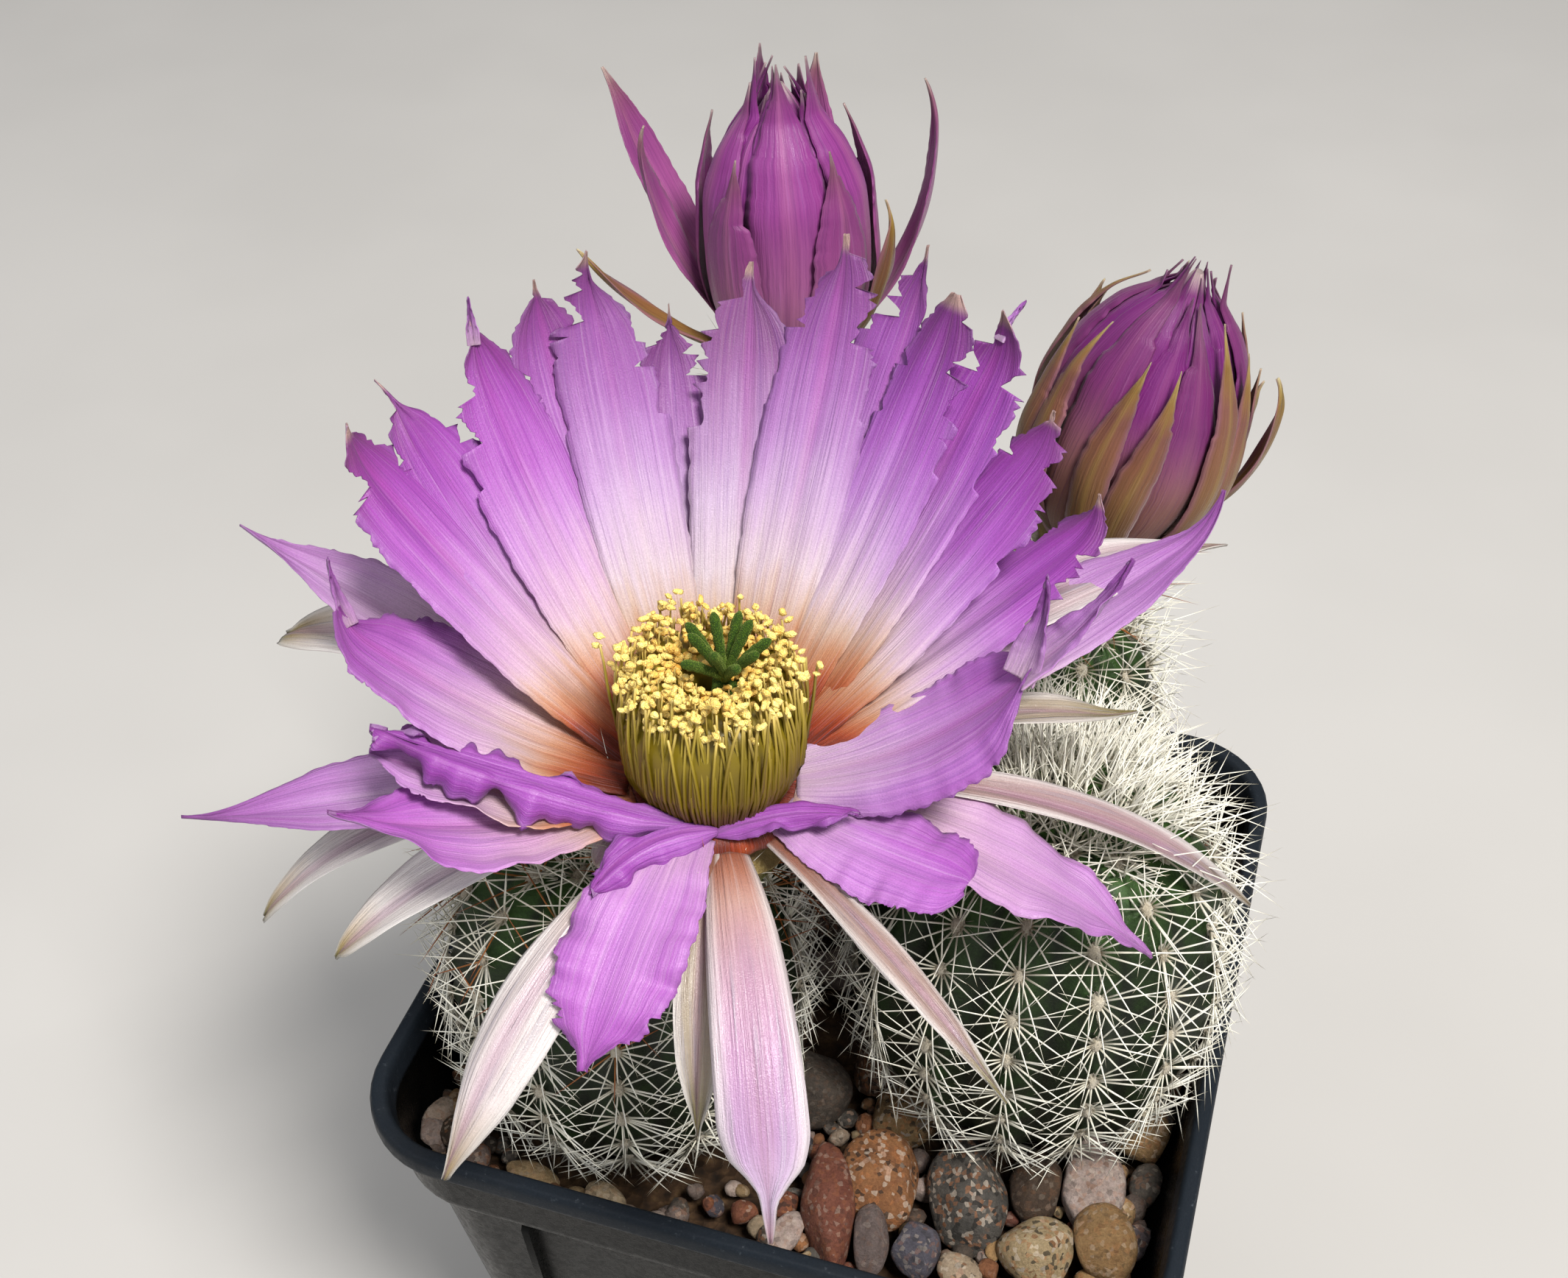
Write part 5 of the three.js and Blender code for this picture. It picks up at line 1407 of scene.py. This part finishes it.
def make_stamens(filament_material, anther_material):
    rng = np.random.default_rng(9)
    skin = Skin()
    shape = ball(2)
    heart = np.array([FLOWER["x"], FLOWER["y"], 0])
    t = np.linspace(0, 1, 10)
    radii, heights = np.array(BARREL, float).T
    low = heights[0]
    swell = np.interp(lerp(low, heights[-1], t), heights, radii)
    for index, (foot, top, height, count, bulge) in enumerate(STAMEN_RINGS):
        for k in range(count):
            a = 2 * np.pi * (k + rng.uniform(-0.3, 0.3)) / count
            end = a + rng.normal() * 0.08
            stray = index == 0 and rng.uniform() < 0.05
            lean = 1.6 if stray else rng.normal() * 0.3
            radius = lerp(lerp(foot, top, t), swell, bulge) + lean * t**3
            rise = height + rng.normal() * 0.6 + (1.8 if stray else 0)
            angle = lerp(a, end, t**3)
            path = heart + stacked(radius * np.cos(angle), radius * np.sin(angle), lerp(low, rise, t))
            wide = (0.18, 0.16, 0.13)[min(index, 2)] * np.linspace(1.1, 0.55, len(t))
            add_tube(skin, path, wide, (rng.uniform(), 0, 0), 4 if index < 2 else 3)
            bare = index == 0 and not stray and rng.uniform() < 0.55
            anthers = 0 if bare else rng.integers(1, 3)
            # Inner rings get more amber: painted shade in the flower's middle.
            add_anthers(skin, shape, path[-1], anthers, rng.uniform() * (0.2 + 0.14 * index), rng)
    for k in range(LOOSE_ANTHERS):
        reach = 1.2 + 3 * math.sqrt((k + 0.5) / LOOSE_ANTHERS)
        spot = heart + heading(math.radians(GOLDEN_ANGLE * k)) * reach + (0, 0, 112.6 + 0.35 * reach)
        # Loose anthers nearer the middle get more amber: painted shade.
        add_anthers(skin, shape, spot, 1, rng.uniform(0.2, 0.9) * (1.3 - reach / 5), rng)
    tones = (np.array(BARREL_CORE)[:, 1] - low) / 13 * 0.75
    add_fluted(skin, BARREL_CORE, tones, 96, 48, 0.05)
    materials = [filament_material, anther_material]
    piece("open_flower_stamen_barrel", skin, materials, "stamens", "open_flower_stamens")


def stigma_bumps(t, a):
    return 0.05 * np.sin(a * 7 + t * 60) * np.cos(t * 90 + a * 3)


def make_pistil(material):
    skin = Skin()
    foot = np.array([FLOWER["x"], FLOWER["y"], STYLE["foot"]])
    head = np.array([FLOWER["x"] + STYLE["lean"], FLOWER["y"], STYLE["top"]])
    t = np.linspace(0, 1, 8)
    add_tube(skin, lerp(foot, head, t[:, None]), STYLE["radius"] * np.linspace(1, 1.15, 8), (0, 0, 0), 14)
    rng = np.random.default_rng(4)
    t = np.linspace(0, 1, 18)
    taper = lerp(0.62, 1, smooth(t / 0.7))
    tip = np.sqrt(np.clip(1 - ((t - 0.86) / 0.145) ** 2, 0.0, 1))
    radii = STIGMA["radius"] * np.maximum(tip * (t > 0.86) + (t <= 0.86) * taper, 0.08)
    for k in range(STIGMA["lobes"]):
        a = 2 * math.pi * (k + 0.5) / STIGMA["lobes"]
        lift = math.radians(STIGMA["lift"] + (STIGMA["every_other"] if k % 2 else 0) + rng.uniform(-5, 5))
        curve = lift + 0.35 * (1 - t) - 0.15
        way = stacked(np.cos(a) * np.cos(curve), np.sin(a) * np.cos(curve), np.sin(curve))
        path = head + np.concatenate([np.zeros((1, 3)), np.cumsum(way[1:], 0)]) * STIGMA["length"] / 17
        add_tube(skin, path, radii, (rng.uniform(), 0, 0), 14, bumps=stigma_bumps)
    piece("open_flower_stigma", skin, [material], "pistil", "open_flower_pistil")


# ---------------------------------------------------------------- tubes and buds


def tube_bumps(t, a):
    return 0.22 * np.sin(a * 7 + t * 9) * np.sin(t * 22 + a * 2)


def make_tube(name, path, materials, seed):
    """A flower's tube along path, rows of x, y, z and radius, with areoles of wool and bristles."""
    rng = np.random.default_rng(seed)
    skin = Skin()
    path = np.array(path, float)
    knots, fine = np.linspace(0, 1, len(path)), np.linspace(0, 1, 40)
    line = np.stack([along(list(zip(knots, path[:, k])), fine) for k in range(4)], -1)
    add_tube(skin, line[:, :3], line[:, 3], (0.3, 0, 0), 48, bumps=tube_bumps)
    dome, faces = ball(2)
    feet, ways, lengths, looks = [], [], [], []
    for k in range(TUBE_AREOLES):
        t = 0.22 + 0.72 * (k + 0.5) / TUBE_AREOLES
        *middle, radius = line[int(t * 39)]
        out = heading(math.radians(GOLDEN_ANGLE * k))
        point = middle + out * radius
        fuzz = dome * (1 + 0.15 * rng.normal(size=(len(dome), 1))) * (0.7, 0.7, 0.8)
        skin.add(fuzz + point, [faces], look=(0.5, 0, 0), slot=2)
        for _ in range(11):
            feet.append(point)
            ways.append(unit(out + (0, 0, 0.7) + rng.normal(size=3) * 0.42))
            lengths.append(rng.uniform(3.5, 7.5))
            looks.append((rng.choice([0.1, 0.9], p=[0.8, 0.2]), rng.uniform(), 0))
    add_needles(skin, feet, ways, lengths, 0.075, looks, rng.normal(size=(len(feet), 3)) * 0.5, slot=1)
    piece(name + "_skin", skin, materials, "flower_tube", name)


def add_hugging(skin, bud, around, start, end, offset, width, look, rng, place, curl):
    """A tepal that lies on the bud's outline and closes over its top."""
    t = np.concatenate([np.linspace(0, 0.6, 22, endpoint=False), np.linspace(0.6, 1, 34)])
    radii, heights = np.array(bud["outline"], float).T
    top = heights[-1]
    z = lerp(start, end, t)
    body = along(list(zip(heights, radii)), np.minimum(z, top))
    proud = lerp(-0.9, offset, np.minimum(1, 4 * t))
    radius = body + proud - 0.25 * np.maximum(0, z - top)
    radius = (radius + curl * np.clip((t - 0.8) / 0.2, 0, 1) ** 1.6)[:, None]
    across = np.linspace(-1, 1, 11)
    half = np.maximum(along(OUTLINE["hug"], t) * width / 2, 0.03)
    left, right = (ragged_edge(t, half, rng, TORN["hug"], 8, start=0.5)[:, None] for _ in range(2))
    t, z = t[:, None], z[:, None]
    x = across * np.where(across < 0, left, right)
    angle = math.radians(around) + x / np.maximum(radius, 2.4) + 0.05 * np.sin(t * 5 + look[0] * 9)
    bow = 0.35 * (1 - across**2) + 0.12 * np.abs(across) * np.sin(13 * t + look[0] * 30)
    far = radius + bow * smooth((1 - t) / 0.2)
    thick = np.maximum(lerp(0.4, 0.18, t) * (1 - 0.6 * np.abs(across) ** 3), 0.06)
    add_shell(skin, place(stacked(far * np.cos(angle), far * np.sin(angle), z)), thick, across, t, look)


def add_core(skin, bud, place):
    """The closed heart of a bud, inside its tepals."""
    rows, sides = 20, 36
    (foot, low), *rest = bud["outline"]
    top = rest[-1][1] + 2
    core = np.array([(foot - 0.2, low), *((max(radius - 1.7, 0.3), z) for radius, z in rest), (0.4, top)])
    z = np.linspace(0, top, rows)[:, None]
    radius = np.interp(z, core[:, 1], core[:, 0])
    a = turns(sides)
    rings = place(stacked(radius * np.cos(a), radius * np.sin(a), z))
    skin.add(rings, tube_faces(rows, sides), stacked(z / top, a, 1), (0.5, 0, 0))


def make_bud(name, bud, material, seed):
    rng = np.random.default_rng(seed)
    skin = Skin()
    turn, base = to_axis((*bud["lean"], 1)), np.array(bud["base"], float)
    olive, tip, count = bud["olive"], bud["tip"], bud["sepals"]
    top = bud["outline"][-1][1]

    def place(grid):
        return grid @ turn.T + base

    add_core(skin, bud, place)
    for k in range(INNER_SEPALS):
        look = (rng.uniform(), 0.0, olive)
        around, end = 360 * (k + 0.3) / INNER_SEPALS, tip - rng.uniform(0, 4)
        offset, curl = -1.0 - 0.1 * (k % 3), rng.uniform(-1, 0.8)
        add_hugging(skin, bud, around, 4, end, offset, 5.6, look, rng, place, curl)
    for k in range(count):
        if k % (3 if olive == 1 else 2) > 0:
            start, end, offset, width = 0.7, top - 2 - 2 * olive * rng.uniform(-1, 3) + k % 3, 0.5, 58 / count
            look, curls = (rng.uniform(), olive * 0.95, olive), (0.2, 1.6)
        else:
            start, end, offset, width = 1.2, tip - k % 4, -0.4, 74 / count + olive
            look, curls = (rng.uniform(), olive * 0.3, olive), (-0.6, 0.6)
        curl = rng.uniform(*curls)
        add_hugging(skin, bud, 360 * k / count, start, end, offset, width, look, rng, place, curl)
    for azimuth, length, low, high, width in bud["spreading"]:
        root = heading(math.radians(azimuth)) * (bud["outline"][0][0] - 0.4) + (0, 0, 1.4)
        narrow = width < 4
        look = (rng.uniform(), 1.0 if narrow else olive, 0)
        add_tepal(skin, root, azimuth, length, (low, high), width, "outer", 0.2, look, rng, ragged=not narrow,
                  place=place, curl=rng.uniform(-30, 30), columns=11)
    piece(name + "_tepals", skin, [material], "bud", name + "_petals")


def bud_tube_path(bud):
    """x, y, z and radius at the foot, middle and top of the bud's tube."""
    axis = unit((*bud["lean"], 1))
    top = np.append(np.array(bud["base"]) - 0.3 * axis, bud["outline"][0][0] - 0.2)
    foot = np.array(bud["tube_foot"], float)
    middle = (foot + top) / 2
    middle[3] -= 0.2
    return [foot, middle, top]


# ---------------------------------------------------------------- studio


def back_from(azimuth, elevation):
    """The direction from the plant to a camera or lamp; azimuth 0 is the front."""
    a, e = math.radians(azimuth), math.radians(elevation)
    return np.array([math.sin(a) * math.cos(e), -math.cos(a) * math.cos(e), math.sin(e)])


def stand(name, data, right, up, back, place):
    """An object with those axes at that place, in metres."""
    made = object_of(name, data)
    matrix = Matrix.Identity(4)
    for k, axis in enumerate((right, up, back, place)):
        for row in range(3):
            matrix[row][k] = axis[row]
    made.matrix_world = matrix
    return made


def make_camera():
    back = back_from(VIEW["azimuth"], VIEW["elevation"])
    level = heading(math.radians(VIEW["azimuth"]))
    upright = np.cross(back, level)
    roll = math.radians(VIEW["roll"])
    right = level * math.cos(roll) + upright * math.sin(roll)
    up = upright * math.cos(roll) - level * math.sin(roll)
    place = np.array(VIEW_CENTRE) + back * VIEW["distance"] + right * VIEW["aside"] + up * VIEW["above"]
    data = bpy.data.cameras.new("camera")
    data.sensor_width = 36
    data.lens = FOCAL_SHARE * data.sensor_width
    data.clip_start, data.clip_end = 0.01, 20
    bpy.context.scene.camera = stand("camera", data, right, up, back, place * MM)


def make_lamps():
    for name, (azimuth, elevation, distance, size, power, colour) in LAMPS.items():
        back = back_from(azimuth, elevation)
        right = unit(np.cross((0, 0, 1), back))
        data = bpy.data.lights.new(name, "AREA")
        data.size, data.energy, data.color = size, power, colour
        stand(name, data, right, np.cross(back, right), back, back * distance + LAMP_AIM)


def make_floor():
    skin = Skin()
    half = FLOOR_HALF
    skin.add([(-half, -half, 0), (half, -half, 0), (half, half, 0), (-half, half, 0)], [[[0, 1, 2, 3]]])
    floor = object_of("studio_floor", mesh_of("studio_floor", skin))
    floor.data.materials.append(floor_paint())


def make_world():
    world = bpy.data.worlds.new("studio")
    world.use_nodes = True
    colour, strength, *_ = world.node_tree.nodes["Background"].inputs
    colour.default_value = (0.86, 0.88, 0.92, 1)
    strength.default_value = 0.25
    bpy.context.scene.world = world
    bpy.context.scene.view_settings.view_transform = "Standard"


# ---------------------------------------------------------------- the clump

make_camera()
make_floor()
make_world()
make_lamps()
inner_material, outer_material, bud_material = inner_petal(), outer_petal(), bud_petal()
spine_material, wool_material, green_material = spine(), wool(), green_skin()
tube_materials = [tube_skin(), spine_material, wool_material]

make_pot(pot_plastic())
make_soil(soil())
make_gravel(stone())
for seed, (name, sizes) in enumerate(STEMS.items(), 30):
    rng = np.random.default_rng(seed)
    make_body(name, sizes, green_material, rng)
    make_spines(name, sizes, spine_material, wool_material, rng)
make_open_flower(inner_material, outer_material)
make_stamens(filament(), anther())
make_pistil(stigma())
make_tube("open_flower_tube", FLOWER_TUBE, tube_materials, 3)
for index, (name, sizes) in enumerate(BUDS.items()):
    make_bud(name, sizes, bud_material, 50 + index)
    make_tube(name + "_tube", bud_tube_path(sizes), tube_materials, 60 + index)
